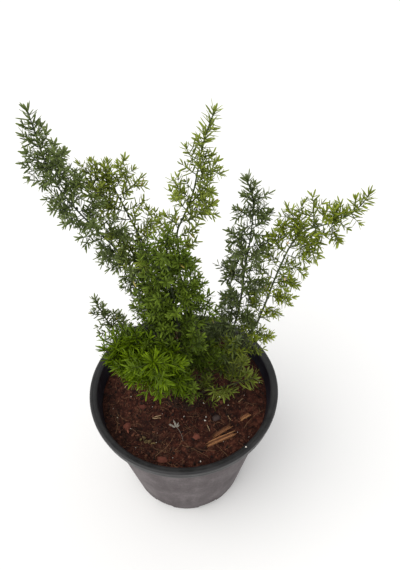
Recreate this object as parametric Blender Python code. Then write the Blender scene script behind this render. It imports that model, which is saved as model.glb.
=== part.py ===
"""A young asparagus fern in a round nursery pot.

The pot stands on z = 0 with its axis on the z axis. +X is to the right and +Y to the back.
The soil and the rootstock lie in the pot, and nine fronds grow from the rootstock. A frond is
a stem and its side sprays, and each of these is one tube with whorls of needle leaves.
"""

import math

import bmesh
import bpy
from mathutils import Matrix, Vector
from mathutils.kdtree import KDTree

MM = 0.001

# Pot
POT_HEIGHT = 165 * MM
RIM_RADIUS = 100 * MM
RIM_OVERHANG = 7.5 * MM
RIM_BAND = 11 * MM
RIM_STEP = 1.2 * MM
BASE_RADIUS = 68 * MM
WALL = 1.5 * MM
BASE_THICKNESS = 2.5 * MM
BASE_FILLET = 3 * MM
DRAIN_NOTCHES = 8
DRAIN_NOTCH_HEIGHT = 7 * MM
DRAIN_NOTCH_DEPTH = 9 * MM
DRAIN_NOTCH_ANGLE = math.radians(19)
DRAIN_NOTCH_TURN = math.radians(-78)
POT_SEGMENTS = 80

# Soil and rootstock
SOIL_DROP = 18 * MM
SOIL_SWELL = 1.2 * MM
SOIL_RINGS = 6
ROOTSTOCK_RADIUS = 24 * MM
ROOTSTOCK_DEPTH = 8 * MM
ROOTSTOCK_RISE = 3 * MM
ROOTSTOCK_SHOULDER = 4 * MM

# Wood chips: length, width, share of the soil's radius, bearing, turn
CHIP_THICKNESS = 3 * MM
WOOD_CHIPS = {
    "long_wood_chip": (36 * MM, 5.0 * MM, 0.76, math.radians(-56), math.radians(24)),
    "broken_wood_chip": (26 * MM, 4.0 * MM, 0.69, math.radians(-50), math.radians(32)),
    "small_wood_chip": (15 * MM, 3.5 * MM, 0.80, math.radians(-26), math.radians(31)),
}

# Plant
STEM_RADIUS = 1.4 * MM
STEM_TIP_RADIUS = 0.5 * MM
STEM_SIDES = 5
STEM_STEP = 7 * MM
SPRAY_RADIUS = 0.55 * MM
SPRAY_TIP_RADIUS = 0.25 * MM
SPRAY_SIDES = 4
SPRAY_FOOT = 1.5 * MM
SPRAY_BARE = 5 * MM
SPRAY_SAG = 0.10
WHORL_WIDTH = 1.2 * MM
WHORL_SPACING = 5.5 * MM
WHORL_TWIST = math.radians(38)
NEEDLE_LENGTH = 10 * MM
NEEDLE_LEAN = math.radians(52)
NEEDLE_TAPER = 0.35
NEEDLE_CLEARANCE = 1.3 * MM
SHORTER_NEEDLES = (1.0, 0.7, 0.45, 0.25)

# Fits
SEAT_GAP = 0.3 * MM

# Each frond: its foliage, the share of the stem that is bare of needles, the stem's route and
# the sprays. A route point is (right, back, up) in millimetres, up from the soil line, and the
# stem's foot on the rootstock comes before it. A spray is (share along the stem, reach), and
# its reach is (right, back, up) in millimetres from the stem to the spray's tip.
FRONDS = {
    "tall_left": {
        "foliage": "dark_foliage",
        "bare": 0.90,
        "foot": (-6, 4),
        "route": [(-8, 5, 45), (-10, 6, 88), (-20, 10, 123), (-35, 14, 158), (-52, 18, 188),
                  (-70, 22, 211), (-85, 27, 230), (-95, 31, 248), (-101, 36, 273),
                  (-107, 46, 303)],
        "sprays": [(0.49, (-18, -8, -2)), (0.60, (-18, 10, -16)), (0.68, (8, -20, 18)),
                   (0.74, (-24, 6, -8)), (0.80, (24, -12, 20)), (0.85, (-22, 2, 0))],
    },
    "centre_left": {
        "foliage": "mid_foliage",
        "bare": 0.94,
        "foot": (-2, 9),
        "route": [(-3, 10, 50), (-4, 12, 98), (-14, 16, 139), (-24, 21, 170), (-32, 26, 194),
                  (-42, 31, 219), (-49, 35, 236), (-58, 42, 259)],
        "sprays": [(0.66, (-6, -24, 18)), (0.77, (24, -10, 26)), (0.83, (-26, -10, 34)),
                   (0.88, (24, -4, 22)), (0.92, (12, 4, 28))],
    },
    "upright": {
        "foliage": "bright_foliage",
        "bare": 0.90,
        "foot": (4, 11),
        "route": [(5, 11, 48), (4, 12, 98), (2, 13, 146), (0, 14, 179), (0, 15, 208),
                  (4, 16, 219), (13, 18, 242), (17, 20, 260), (21, 21, 281), (25, 22, 295),
                  (31, 23, 311)],
        "sprays": [(0.60, (18, -8, 14)), (0.66, (-16, -6, 20)), (0.70, (26, -12, 26)),
                   (0.76, (-16, -8, 24)), (0.80, (18, -10, 26)), (0.86, (-12, 8, 14))],
    },
    "dark_right": {
        "foliage": "dark_foliage",
        "bare": 0.88,
        "foot": (12, 6),
        "route": [(27, 9, 33), (43, 12, 66), (52, 14, 98), (56, 16, 128), (58, 18, 166),
                  (61, 20, 200), (61, 22, 232), (57, 24, 246), (54, 27, 255)],
        "sprays": [(0.52, (-18, -12, 10)), (0.63, (-20, 4, -14)), (0.71, (18, -10, 10)),
                   (0.78, (-20, -6, 0)), (0.84, (16, 4, 4))],
    },
    "arching_right": {
        "foliage": "bright_foliage",
        "bare": 0.90,
        "foot": (16, 2),
        "route": [(40, 5, 42), (68, 9, 90), (77, 12, 118), (84, 15, 150), (91, 17, 178),
                  (97, 19, 194), (106, 21, 204), (117, 23, 207), (130, 25, 210),
                  (142, 26, 217), (151, 28, 227), (156, 30, 238)],
        "sprays": [(0.36, (22, -6, -8)), (0.54, (20, -8, -6)), (0.61, (22, 6, -24)),
                   (0.67, (24, -6, -2)), (0.73, (-18, -6, 26)), (0.80, (-6, 2, 34)),
                   (0.85, (10, -8, -20))],
    },
    "low_left": {
        "foliage": "dark_foliage",
        "bare": 0.72,
        "foot": (-14, 3),
        "route": [(-35, 8, 46), (-60, 12, 79), (-71, 17, 94), (-79, 23, 109), (-84, 28, 123)],
        "sprays": [(0.58, (8, -4, 34)), (0.70, (-16, -8, 2))],
    },
    "middle": {
        "foliage": "dark_foliage",
        "bare": 0.88,
        "foot": (-2, -3),
        "route": [(-2, -4, 50), (-2, -5, 103), (-5, -6, 147), (-7, -8, 184), (-7, -10, 213),
                  (-4, -12, 234)],
        "sprays": [(0.42, (-32, -8, 40)), (0.56, (32, -6, 26)), (0.67, (26, -10, 20)),
                   (0.78, (18, -10, 24))],
    },
    "front_young": {
        "foliage": "young_foliage",
        "bare": 0.85,
        "foot": (-9, -6),
        "route": [(-14, -12, 38), (-19, -24, 75), (-22, -38, 103), (-22, -52, 125)],
        "sprays": [(0.50, (-50, 2, 30)), (0.56, (26, -10, -20)), (0.62, (-18, 20, 32)),
                   (0.67, (28, -2, 6)), (0.73, (-30, -12, -16)), (0.80, (4, -16, -36))],
    },
    "low_front": {
        "foliage": "olive_foliage",
        "bare": 0.80,
        "foot": (13, -7),
        "route": [(24, -14, 24), (42, -18, 37), (62, -16, 44), (78, -12, 46)],
        "sprays": [(0.38, (-8, 4, 18)), (0.54, (-4, -18, 6)), (0.72, (6, 12, 30))],
    },
}

# Colour, roughness and metallic value of each material
FINISHES = {
    "pot_plastic": ((0.050, 0.052, 0.055), 0.55, 0.0),
    "soil": ((0.075, 0.032, 0.020), 0.95, 0.0),
    "root_bark": ((0.20, 0.13, 0.07), 0.85, 0.0),
    "wood": ((0.42, 0.20, 0.08), 0.80, 0.0),
    "dark_foliage": ((0.055, 0.125, 0.050), 0.50, 0.0),
    "mid_foliage": ((0.085, 0.180, 0.035), 0.50, 0.0),
    "bright_foliage": ((0.140, 0.260, 0.030), 0.50, 0.0),
    "young_foliage": ((0.090, 0.270, 0.020), 0.45, 0.0),
    "olive_foliage": ((0.110, 0.170, 0.055), 0.55, 0.0),
}


def soil_line():
    return POT_HEIGHT - SOIL_DROP


def clear_scene():
    for found in list(bpy.data.objects):
        bpy.data.objects.remove(found, do_unlink=True)


def make_materials():
    made = {}
    for name, (colour, roughness, metallic) in FINISHES.items():
        material = bpy.data.materials.new(name)
        material.use_nodes = True
        shader = material.node_tree.nodes["Principled BSDF"]
        shader.inputs["Base Color"].default_value = (*colour, 1.0)
        shader.inputs["Roughness"].default_value = roughness
        shader.inputs["Metallic"].default_value = metallic
        material.diffuse_color = (*colour, 1.0)
        made[name] = material
    return made


def add_object(name, bm, material, parent):
    """Close a bmesh into a named object, with its faces outwards and its round sides smooth."""
    bmesh.ops.recalc_face_normals(bm, faces=bm.faces)
    if bm.calc_volume(signed=True) < 0:
        bmesh.ops.reverse_faces(bm, faces=bm.faces)
    mesh = bpy.data.meshes.new(name)
    bm.to_mesh(mesh)
    bm.free()
    mesh.shade_smooth()
    mesh.set_sharp_from_angle(angle=math.radians(35))
    mesh.materials.append(material)
    made = bpy.data.objects.new(name, mesh)
    made.parent = parent
    bpy.context.scene.collection.objects.link(made)
    return made


def turned(profile, segments):
    """Spin a closed outline of (radius, height) points round the z axis into a bmesh."""
    bm = bmesh.new()
    points = [bm.verts.new((radius, 0.0, height)) for radius, height in profile]
    edges = [bm.edges.new(pair) for pair in zip(points, points[1:])]
    on_axis = profile[0][0] == 0.0 and profile[-1][0] == 0.0
    if not on_axis:
        edges.append(bm.edges.new((points[-1], points[0])))
    bmesh.ops.spin(
        bm,
        geom=points + edges,
        cent=(0, 0, 0),
        axis=(0, 0, 1),
        angle=math.tau,
        steps=segments,
        use_merge=True,
    )
    bmesh.ops.remove_doubles(bm, verts=bm.verts, dist=0.001 * MM)
    return bm


# Pot


def shoulder_radius():
    """The wall's outside where it meets the rim."""
    return RIM_RADIUS - RIM_OVERHANG


def wall_outside(height):
    """The outside radius of the tapered wall at a height."""
    share = height / (POT_HEIGHT - RIM_BAND)
    return BASE_RADIUS + (shoulder_radius() - BASE_RADIUS) * share


def wall_inside(height):
    return wall_outside(height) - WALL


def pot_profile():
    """The pot's section, from the middle of the base out, up the wall and back down inside."""
    band_foot = POT_HEIGHT - RIM_BAND
    band_middle = POT_HEIGHT - RIM_BAND / 2
    skirt_inside = RIM_RADIUS - RIM_STEP - WALL
    return [
        (0.0, 0.0),
        (BASE_RADIUS - BASE_FILLET, 0.0),
        (BASE_RADIUS - BASE_FILLET * 0.3, BASE_FILLET * 0.3),
        (wall_outside(BASE_FILLET), BASE_FILLET),
        (wall_outside(band_foot), band_foot),
        (wall_outside(POT_HEIGHT - WALL), POT_HEIGHT - WALL),
        (skirt_inside, POT_HEIGHT - WALL),
        (skirt_inside, band_foot),
        (skirt_inside + WALL, band_foot),
        (skirt_inside + WALL, band_middle),
        (RIM_RADIUS, band_middle + RIM_STEP),
        (RIM_RADIUS, POT_HEIGHT - RIM_STEP),
        (RIM_RADIUS - RIM_STEP, POT_HEIGHT),
        (wall_inside(POT_HEIGHT) + RIM_STEP, POT_HEIGHT),
        (wall_inside(POT_HEIGHT - RIM_STEP), POT_HEIGHT - RIM_STEP),
        (wall_inside(BASE_THICKNESS), BASE_THICKNESS),
        (0.0, BASE_THICKNESS),
    ]


def drain_cutters():
    """Wedges round the corner of the base, one for each notch, joined as separate solids."""
    inner = BASE_RADIUS - DRAIN_NOTCH_DEPTH
    outer = BASE_RADIUS * 1.2
    below = -BASE_THICKNESS
    steps = 4
    bm = bmesh.new()
    for notch in range(DRAIN_NOTCHES):
        start = DRAIN_NOTCH_TURN + notch * math.tau / DRAIN_NOTCHES
        turns = [start + DRAIN_NOTCH_ANGLE * step / steps for step in range(steps + 1)]
        outline = [(inner * math.cos(turn), inner * math.sin(turn), below) for turn in turns]
        outline += [
            (outer * math.cos(turn), outer * math.sin(turn), below) for turn in reversed(turns)
        ]
        face = bm.faces.new([bm.verts.new(point) for point in outline])
        grown = bmesh.ops.extrude_face_region(bm, geom=[face])["geom"]
        moved = [item for item in grown if isinstance(item, bmesh.types.BMVert)]
        bmesh.ops.translate(bm, verts=moved, vec=(0, 0, DRAIN_NOTCH_HEIGHT - below))
    return bm


def make_pot(materials, parent):
    pot = add_object("pot", turned(pot_profile(), POT_SEGMENTS), materials["pot_plastic"], parent)
    cutter = add_object("drain_cutter", drain_cutters(), materials["pot_plastic"], parent)
    cutter.hide_render = True
    cutter.display_type = "WIRE"
    cut = pot.modifiers.new("drain notches", "BOOLEAN")
    cut.operation = "DIFFERENCE"
    cut.solver = "EXACT"
    cut.object = cutter


# Soil, rootstock and wood chips


def soil_radius(height):
    return wall_inside(height) - SEAT_GAP


def soil_height(radius, bearing):
    """The soil's top: level at the rootstock, with low swells, and a little lower at the wall."""
    outwards = (radius - ROOTSTOCK_RADIUS) / (soil_radius(soil_line()) - ROOTSTOCK_RADIUS)
    swell = math.sin(3 * bearing + 1.0) + math.sin(2 * bearing + 5 * outwards)
    return soil_line() + SOIL_SWELL * outwards * (swell - 1.0)


def soil_profile():
    floor = BASE_THICKNESS + SEAT_GAP
    pocket_floor = soil_line() - ROOTSTOCK_DEPTH - SEAT_GAP
    pocket_radius = ROOTSTOCK_RADIUS + SEAT_GAP
    edge = soil_radius(soil_line())
    top = [
        (pocket_radius + (edge - pocket_radius) * ring / SOIL_RINGS, soil_line())
        for ring in range(SOIL_RINGS + 1)
    ]
    side = [(soil_radius(soil_line() - 8 * MM), soil_line() - 8 * MM), (soil_radius(floor), floor)]
    return [(0.0, pocket_floor), (pocket_radius, pocket_floor), *top, *side, (0.0, floor)]


def make_soil(materials, parent):
    bm = turned(soil_profile(), POT_SEGMENTS)
    for vertex in bm.verts:
        radius = vertex.co.xy.length
        if radius > ROOTSTOCK_RADIUS and abs(vertex.co.z - soil_line()) < 0.01 * MM:
            bearing = math.atan2(vertex.co.y, vertex.co.x)
            vertex.co.z = soil_height(radius, bearing)
            within = min(radius, soil_radius(vertex.co.z))
            vertex.co.xy = vertex.co.xy * within / radius
    add_object("soil", bm, materials["soil"], parent)


def rootstock_top():
    return soil_line() + ROOTSTOCK_RISE


def make_rootstock(materials, parent):
    bottom = soil_line() - ROOTSTOCK_DEPTH
    profile = [
        (0.0, bottom),
        (ROOTSTOCK_RADIUS, bottom),
        (ROOTSTOCK_RADIUS, soil_line()),
        (ROOTSTOCK_RADIUS - ROOTSTOCK_SHOULDER * 0.4, soil_line() + ROOTSTOCK_RISE * 0.7),
        (ROOTSTOCK_RADIUS - ROOTSTOCK_SHOULDER, rootstock_top()),
        (0.0, rootstock_top()),
    ]
    bm = turned(profile, POT_SEGMENTS // 2)
    add_object("rootstock", bm, materials["root_bark"], parent)


def make_wood_chips(materials, parent):
    for name, (length, width, share, bearing, turn) in WOOD_CHIPS.items():
        radius = soil_radius(soil_line()) * share
        centre = Vector((radius * math.cos(bearing), radius * math.sin(bearing), 0.0))
        spin = Matrix.Rotation(turn, 4, "Z")
        bm = bmesh.new()
        bmesh.ops.create_cube(bm, size=1.0)
        bmesh.ops.scale(bm, vec=(length, width, CHIP_THICKNESS), verts=bm.verts)
        bmesh.ops.bevel(
            bm,
            geom=list(bm.edges),
            offset=0.22 * CHIP_THICKNESS,
            offset_type="OFFSET",
            affect="EDGES",
            segments=1,
            profile=0.5,
            material=-1,
            clamp_overlap=True,
        )
        add_object(name, bm, materials["wood"], parent)
        chip = bpy.data.objects[name]
        highest = max(
            soil_height(spot.xy.length, math.atan2(spot.y, spot.x))
            for across in (-0.5, 0.0, 0.5)
            for along in (-0.5, -0.25, 0.0, 0.25, 0.5)
            for spot in [centre + spin @ Vector((along * length, across * width, 0.0))]
        )
        chip.location = centre + Vector((0, 0, highest + SEAT_GAP + CHIP_THICKNESS / 2))
        chip.rotation_euler = (0.0, 0.0, turn)


# Plant


def smooth_points(points, count):
    """Even points along a Catmull-Rom curve through the given points."""
    padded = [2 * points[0] - points[1], *points, 2 * points[-1] - points[-2]]
    fine = []
    for before, start, end, after in zip(padded, padded[1:], padded[2:], padded[3:]):
        for step in range(16):
            t = step / 16
            fine.append(
                0.5
                * (
                    2 * start
                    + (end - before) * t
                    + (2 * before - 5 * start + 4 * end - after) * t**2
                    + (3 * start - before - 3 * end + after) * t**3
                )
            )
    fine.append(points[-1])
    return spaced(fine, count)


def spaced(fine, count):
    """The polyline's points again, count of them, evenly apart."""
    gaps = [(b - a).length for a, b in zip(fine, fine[1:])]
    step = sum(gaps) / (count - 1)
    even = [fine[0]]
    passed = 0.0
    for start, end, gap in zip(fine, fine[1:], gaps):
        while len(even) < count - 1 and passed + gap >= step * len(even):
            even.append(start.lerp(end, (step * len(even) - passed) / gap))
        passed += gap
    even.append(fine[-1])
    return even


def path_length(points):
    return sum((b - a).length for a, b in zip(points, points[1:]))


def point_at(points, distance):
    for start, end in zip(points, points[1:]):
        gap = (end - start).length
        if distance <= gap:
            return start.lerp(end, distance / gap)
        distance -= gap
    return points[-1].copy()


class Frame:
    """A place on a tube: its centre, its heading, its first side and its radius."""

    def __init__(self, centre, heading, side, radius):
        self.centre = centre
        self.heading = heading.normalized()
        self.side = (side - side.dot(self.heading) * self.heading).normalized()
        self.radius = radius

    def matrix(self):
        other = self.heading.cross(self.side)
        turn = Matrix((self.side, other, self.heading)).transposed().to_4x4()
        size = Matrix.Diagonal((self.radius, self.radius, self.radius, 1.0))
        return Matrix.Translation(self.centre) @ turn @ size


def frames_along(centres, radii, twists, first_heading):
    """Frames on a tube's centres. The side turns by each twist and otherwise stays as it was."""
    side = first_heading.orthogonal()
    frames = []
    for index, centre in enumerate(centres):
        before = centres[max(index - 1, 0)]
        after = centres[min(index + 1, len(centres) - 1)]
        heading = first_heading if index == 0 else after - before
        frame = Frame(centre, heading, side, radii[index])
        side = Matrix.Rotation(twists[index], 3, frame.heading) @ frame.side
        frame.side = side
        frames.append(frame)
    return frames


class Tube:
    """One stem or spray: a tube of rings, with some stretches marked to carry a whorl."""

    def __init__(self, name, frames, whorls, sides, foliage):
        self.name = name
        self.frames = frames
        self.whorls = whorls
        self.sides = sides
        self.foliage = foliage

    def frame_at(self, share):
        """The frame nearest a share of the length, past the foot and short of the tip."""
        centres = [frame.centre for frame in self.frames]
        reached = [path_length(centres[: index + 1]) for index in range(len(centres))]
        inner = range(1, len(centres) - 1)
        return self.frames[min(inner, key=lambda index: abs(reached[index] - share * reached[-1]))]

    def axis_points(self):
        """Points close together on the tube's centre line."""
        points = []
        for start, end in zip(self.frames, self.frames[1:]):
            steps = max(1, round((end.centre - start.centre).length / MM))
            points += [start.centre.lerp(end.centre, step / steps) for step in range(steps)]
        points.append(self.frames[-1].centre)
        return points


def stem_tube(name, frond):
    """The stem's stations: even steps up the bare stretch, then whorls to the tip."""
    foot_x, foot_y = frond["foot"]
    foot = Vector((foot_x * MM, foot_y * MM, rootstock_top() + SEAT_GAP))
    route = [Vector((x * MM, y * MM, soil_line() + z * MM)) for x, y, z in frond["route"]]
    rough = smooth_points([foot, *route], 400)
    length = path_length(rough)
    bare = length * frond["bare"]
    steps = max(2, round(bare / STEM_STEP))
    stations = [bare * step / steps for step in range(steps + 1)]
    twists = [0.0] * len(stations)
    whorls = set()
    while stations[-1] + WHORL_WIDTH + WHORL_SPACING < length:
        whorls.add(len(stations) - 1)
        stations += [stations[-1] + WHORL_WIDTH, stations[-1] + WHORL_WIDTH + WHORL_SPACING]
        twists += [0.0, WHORL_TWIST]
    stations[-1] = length
    centres = [point_at(rough, station) for station in stations]
    shares = [station / length for station in stations]
    radii = [STEM_RADIUS + (STEM_TIP_RADIUS - STEM_RADIUS) * share for share in shares]
    frames = frames_along(centres, radii, twists, Vector((0, 0, 1)))
    return Tube(name, frames, whorls, STEM_SIDES, frond["foliage"])


def spray_tube(name, stem, share, reach, foliage):
    """A spray leaves the stem's side square to it, sags a little and rises to its tip."""
    seat = stem.frame_at(share)
    reach = Vector(reach) * MM
    outwards = (reach - reach.dot(seat.heading) * seat.heading).normalized()
    start = seat.centre + outwards * (seat.radius + SEAT_GAP)
    knee = start + outwards * SPRAY_FOOT
    tip = seat.centre + reach
    middle = knee.lerp(tip, 0.5) + Vector((0, 0, -SPRAY_SAG * reach.length))
    curve = [knee.lerp(middle, t / 12).lerp(middle.lerp(tip, t / 12), t / 12) for t in range(13)]
    path = [start, *curve]
    length = path_length(path)
    stations = [0.0, SPRAY_FOOT, SPRAY_BARE]
    twists = [0.0, 0.0, 0.0]
    whorls = set()
    while stations[-1] + WHORL_WIDTH + WHORL_SPACING * 0.6 < length:
        whorls.add(len(stations) - 1)
        stations += [stations[-1] + WHORL_WIDTH, stations[-1] + WHORL_WIDTH + WHORL_SPACING]
        twists += [0.0, WHORL_TWIST]
    stations[-1] = length
    centres = [point_at(path, station) for station in stations]
    shares = [station / stations[-1] for station in stations]
    radii = [SPRAY_RADIUS + (SPRAY_TIP_RADIUS - SPRAY_RADIUS) * share for share in shares]
    frames = frames_along(centres, radii, twists, outwards)
    return Tube(name, frames, whorls, SPRAY_SIDES, foliage)


def needle_points(root, tip):
    steps = max(2, math.ceil((tip - root).length / MM))
    return [root.lerp(tip, step / steps) for step in range(1, steps + 1)]


def crowded(points, others, clearance):
    return any(others.find(point)[2] < clearance for point in points)


def free_needle(root, direction, length, others):
    """The longest needle that clears every other piece, or None where none does."""
    for share in SHORTER_NEEDLES:
        points = needle_points(root, root + direction * length * share)
        if not crowded(points, others, NEEDLE_CLEARANCE):
            return points
    return None


def tube_bmesh(tube, others):
    """Grow the tube ring by ring and draw each free side of a whorl out into a needle."""
    bm = bmesh.new()
    ring = bmesh.ops.create_circle(bm, segments=tube.sides, radius=1.0)["verts"]
    edges = list({edge for vertex in ring for edge in vertex.link_edges})
    bmesh.ops.transform(bm, matrix=tube.frames[0].matrix(), verts=ring)
    bmesh.ops.contextual_create(bm, geom=edges)
    whorl_sides = []
    for index, (here, there) in enumerate(zip(tube.frames, tube.frames[1:])):
        grown = bmesh.ops.extrude_edge_only(bm, edges=edges)["geom"]
        ring = [item for item in grown if isinstance(item, bmesh.types.BMVert)]
        edges = [
            item
            for item in grown
            if isinstance(item, bmesh.types.BMEdge) and all(end in ring for end in item.verts)
        ]
        step = there.matrix() @ here.matrix().inverted()
        bmesh.ops.transform(bm, matrix=step, verts=ring)
        if index in tube.whorls:
            sides = [item for item in grown if isinstance(item, bmesh.types.BMFace)]
            whorl_sides.append((here, index / len(tube.frames), sides))
    bmesh.ops.contextual_create(bm, geom=edges)
    points = []
    for here, share, sides in whorl_sides:
        length = NEEDLE_LENGTH * (1.0 - NEEDLE_TAPER * share)
        for side in sides:
            root = side.calc_center_median()
            outwards = (root - here.centre).cross(here.heading)
            outwards = here.heading.cross(outwards).normalized()
            lean = outwards * math.sin(NEEDLE_LEAN) + here.heading * math.cos(NEEDLE_LEAN)
            needle = free_needle(root, lean, length, others)
            if needle:
                middle = bmesh.ops.poke(bm, faces=[side])["verts"][0]
                middle.co = needle[-1]
                points += needle
    return bm, points


def tree_of(points):
    tree = KDTree(len(points))
    for index, point in enumerate(points):
        tree.insert(point, index)
    tree.balance()
    return tree


def pot_and_soil_points():
    """Points close together on the soil, the rootstock and the pot's wall and rim."""
    points = []
    edge = soil_radius(soil_line())
    for ring in range(int(edge / (1.5 * MM))):
        radius = (ring + 1) * 1.5 * MM
        steps = max(8, round(math.tau * radius / (1.5 * MM)))
        for step in range(steps):
            bearing = math.tau * step / steps
            flat = Vector((radius * math.cos(bearing), radius * math.sin(bearing), 0.0))
            low = radius < ROOTSTOCK_RADIUS
            height = rootstock_top() if low else soil_height(radius, bearing)
            points.append(flat + Vector((0, 0, height)))
    for level in range(int((SOIL_DROP + 4 * MM) / (1.5 * MM)) + 1):
        height = POT_HEIGHT - level * 1.5 * MM
        for radius in (wall_inside(height), shoulder_radius() + RIM_OVERHANG / 2, RIM_RADIUS):
            steps = round(math.tau * radius / (1.5 * MM))
            for step in range(steps):
                bearing = math.tau * step / steps
                flat = (radius * math.cos(bearing), radius * math.sin(bearing), height)
                points.append(Vector(flat))
    return points


def plan_plant():
    """All the stems and sprays as tubes, before any needle is grown."""
    tubes = []
    for frond_name, frond in FRONDS.items():
        stem = stem_tube(f"{frond_name}_stem", frond)
        tubes.append(stem)
        for number, (share, reach) in enumerate(frond["sprays"], start=1):
            name = f"{frond_name}_spray_{number}"
            tubes.append(spray_tube(name, stem, share, reach, frond["foliage"]))
    return tubes


def make_plant(materials, parent):
    tubes = plan_plant()
    taken = {tube.name: tube.axis_points() for tube in tubes}
    taken["pot_and_soil"] = pot_and_soil_points()
    for tube in tubes:
        others = tree_of([p for name, points in taken.items() if name != tube.name for p in points])
        bm, needles = tube_bmesh(tube, others)
        taken[tube.name] += needles
        add_object(tube.name, bm, materials[tube.foliage], parent)


def main():
    clear_scene()
    bpy.context.scene.unit_settings.scale_length = 1.0
    materials = make_materials()
    assembly = bpy.data.objects.new("potted_asparagus_fern", None)
    bpy.context.scene.collection.objects.link(assembly)
    make_pot(materials, assembly)
    make_soil(materials, assembly)
    make_rootstock(materials, assembly)
    make_wood_chips(materials, assembly)
    make_plant(materials, assembly)


main()
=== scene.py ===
"""A young asparagus fern in a round nursery pot.

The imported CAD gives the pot's height and rim, the rootstock, the wood chips and the line of every
stem and spray. The pot's other sizes are written again here. The pot, the soil and its litter are
made again with finer shapes. Lengths are in metres unless a comment says millimetres, with Z up
and the middle of the pot's base at the origin.
"""

import math
import random

import bmesh
import bpy
import numpy as np
from mathutils import Matrix, Quaternion, Vector, noise


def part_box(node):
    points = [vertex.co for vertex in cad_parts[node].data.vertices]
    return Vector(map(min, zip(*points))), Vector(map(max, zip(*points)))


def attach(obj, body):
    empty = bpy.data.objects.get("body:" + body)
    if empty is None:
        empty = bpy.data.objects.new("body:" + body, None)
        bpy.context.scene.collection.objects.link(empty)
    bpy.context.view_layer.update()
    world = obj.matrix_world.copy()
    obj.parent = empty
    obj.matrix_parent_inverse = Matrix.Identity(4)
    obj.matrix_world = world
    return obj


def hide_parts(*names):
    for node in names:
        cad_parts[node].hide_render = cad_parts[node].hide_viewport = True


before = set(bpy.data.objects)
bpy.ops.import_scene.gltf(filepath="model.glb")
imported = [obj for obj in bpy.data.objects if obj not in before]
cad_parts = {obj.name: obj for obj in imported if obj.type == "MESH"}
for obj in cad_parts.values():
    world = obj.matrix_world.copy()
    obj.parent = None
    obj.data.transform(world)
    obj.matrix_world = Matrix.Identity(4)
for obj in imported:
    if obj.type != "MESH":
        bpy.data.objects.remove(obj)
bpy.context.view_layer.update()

MM = 0.001

# Pot. Its height and its rim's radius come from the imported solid
POT_LOW, POT_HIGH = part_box("pot")
RIM_RADIUS = POT_HIGH.x
POT_HEIGHT = POT_HIGH.z
RIM_OVERHANG = 7.5 * MM
RIM_BAND = 11.0 * MM
RIM_STEP = 1.2 * MM
RIM_GROOVE = 0.8 * MM
BASE_RADIUS = 68.0 * MM
WALL = 1.5 * MM
BASE_THICKNESS = 2.5 * MM
BASE_FILLET = 3.0 * MM
POT_SEGMENTS = 144
EDGE_ROUNDING = 0.45 * MM
NOTCHES = 8
NOTCH_HEIGHT = 7.0 * MM
NOTCH_DEPTH = 9.0 * MM
NOTCH_ANGLE = math.radians(19.0)
NOTCH_TURN = math.radians(-78.0)
NOTCH_ROUNDING = 0.9 * MM
CUTTER_SPARE = 4.0 * MM
SHARP_EDGE = math.radians(24.0)
MERGE_DISTANCE = 0.001 * MM

# Soil
SOIL_LINE = POT_HEIGHT - 18.0 * MM
SOIL_GAP = 0.3 * MM
SOIL_SWELL = 1.2 * MM
SOIL_RINGS = 64
ROOTSTOCK_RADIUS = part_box("rootstock")[1].x
ROOTSTOCK_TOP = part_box("rootstock")[1].z
MOUND_DROP = 2.6 * MM
SOIL_SEGMENTS = 200
CLOD_RISE = 1.5
CRUMB_RISE = 0.9
CRUMB_COUNT = 3600
MOUND_CRUMB_COUNT = 700
FIBRE_COUNT = 420
MOSS_COUNT = 11
PERLITE_COUNT = 26
SCALE_COUNT = 130

# Foliage. The stem's radii are in millimetres, and the needle's outline is its width at each
# share of its length
NEEDLE_WIDTH = 1.55 * MM
NEEDLE_OUTLINE = {0.0: 0.40, 0.16: 0.80, 0.50: 1.0, 0.82: 0.78}
NEEDLE_FLATNESS = 0.34
WHORL_LEAN = 70.0
TUFT_BASE = 56.0
TUFT_LENGTH = 6.0 * MM
GREENEST = 0.86
STEM_FOOT = 1.4
STEM_TIP = 0.45
STEM_SIDES = 10
BRANCHLET_RADII = (0.42 * MM, 0.18 * MM)
FORK_RADII = (0.30 * MM, 0.15 * MM)
STALK_RADII = (0.30 * MM, 0.20 * MM)
LONGEST_FORK = 15.0 * MM
FIRST_JOINT = 9.0 * MM
JOINT_SPACING = 8.0 * MM
SIDE_SPACING = 3.5 * MM
GOLDEN_ANGLE = math.radians(137.5)
ROWS = (0.0, 180.0, -90.0, 0.0, 180.0, 90.0)
UP = Vector((0.0, 0.0, 1.0))
ACROSS = Vector((1.0, 0.0, 0.0))

# Stage, light and camera. The room has one brightness as it lights the plant and another as the
# camera sees it behind the floor
FLOOR_SIZE = 60.0
FLOOR_GREY = 0.94
ROOM_LIGHT = 0.72
ROOM_SEEN = 1.0
SUN_WIDTH = math.radians(70.0)
CAMERA_PLACE = Vector((18.2, -296.1, 596.5)) * MM
CAMERA_PITCH = math.radians(44.05)
CAMERA_ROLL = math.radians(-0.60)
CAMERA_LENS = 30.3


# Materials


def add_node(tree, kind, settings=None, **inputs):
    """Add a node, set its properties, and fill or link its inputs by name."""
    made = tree.nodes.new(kind)
    for name, value in (settings or {}).items():
        setattr(made, name, value)
    for name, value in inputs.items():
        socket = made.inputs[name.replace("_", " ")]
        if isinstance(value, bpy.types.NodeSocket):
            tree.links.new(value, socket)
        else:
            socket.default_value = value
    return made


def new_finish(name, roughness, specular=0.5):
    """An empty material and its shader, with the values that are even all over."""
    material = bpy.data.materials.new(name)
    material.use_nodes = True
    shader = material.node_tree.nodes["Principled BSDF"]
    shader.inputs["Roughness"].default_value = roughness
    shader.inputs["Specular IOR Level"].default_value = specular
    return material, material.node_tree, shader


def place_of(tree):
    return add_node(tree, "ShaderNodeTexCoord").outputs["Object"]


def stretched(tree, place, scale):
    return add_node(tree, "ShaderNodeMapping", Vector=place, Scale=scale).outputs["Vector"]


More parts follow.
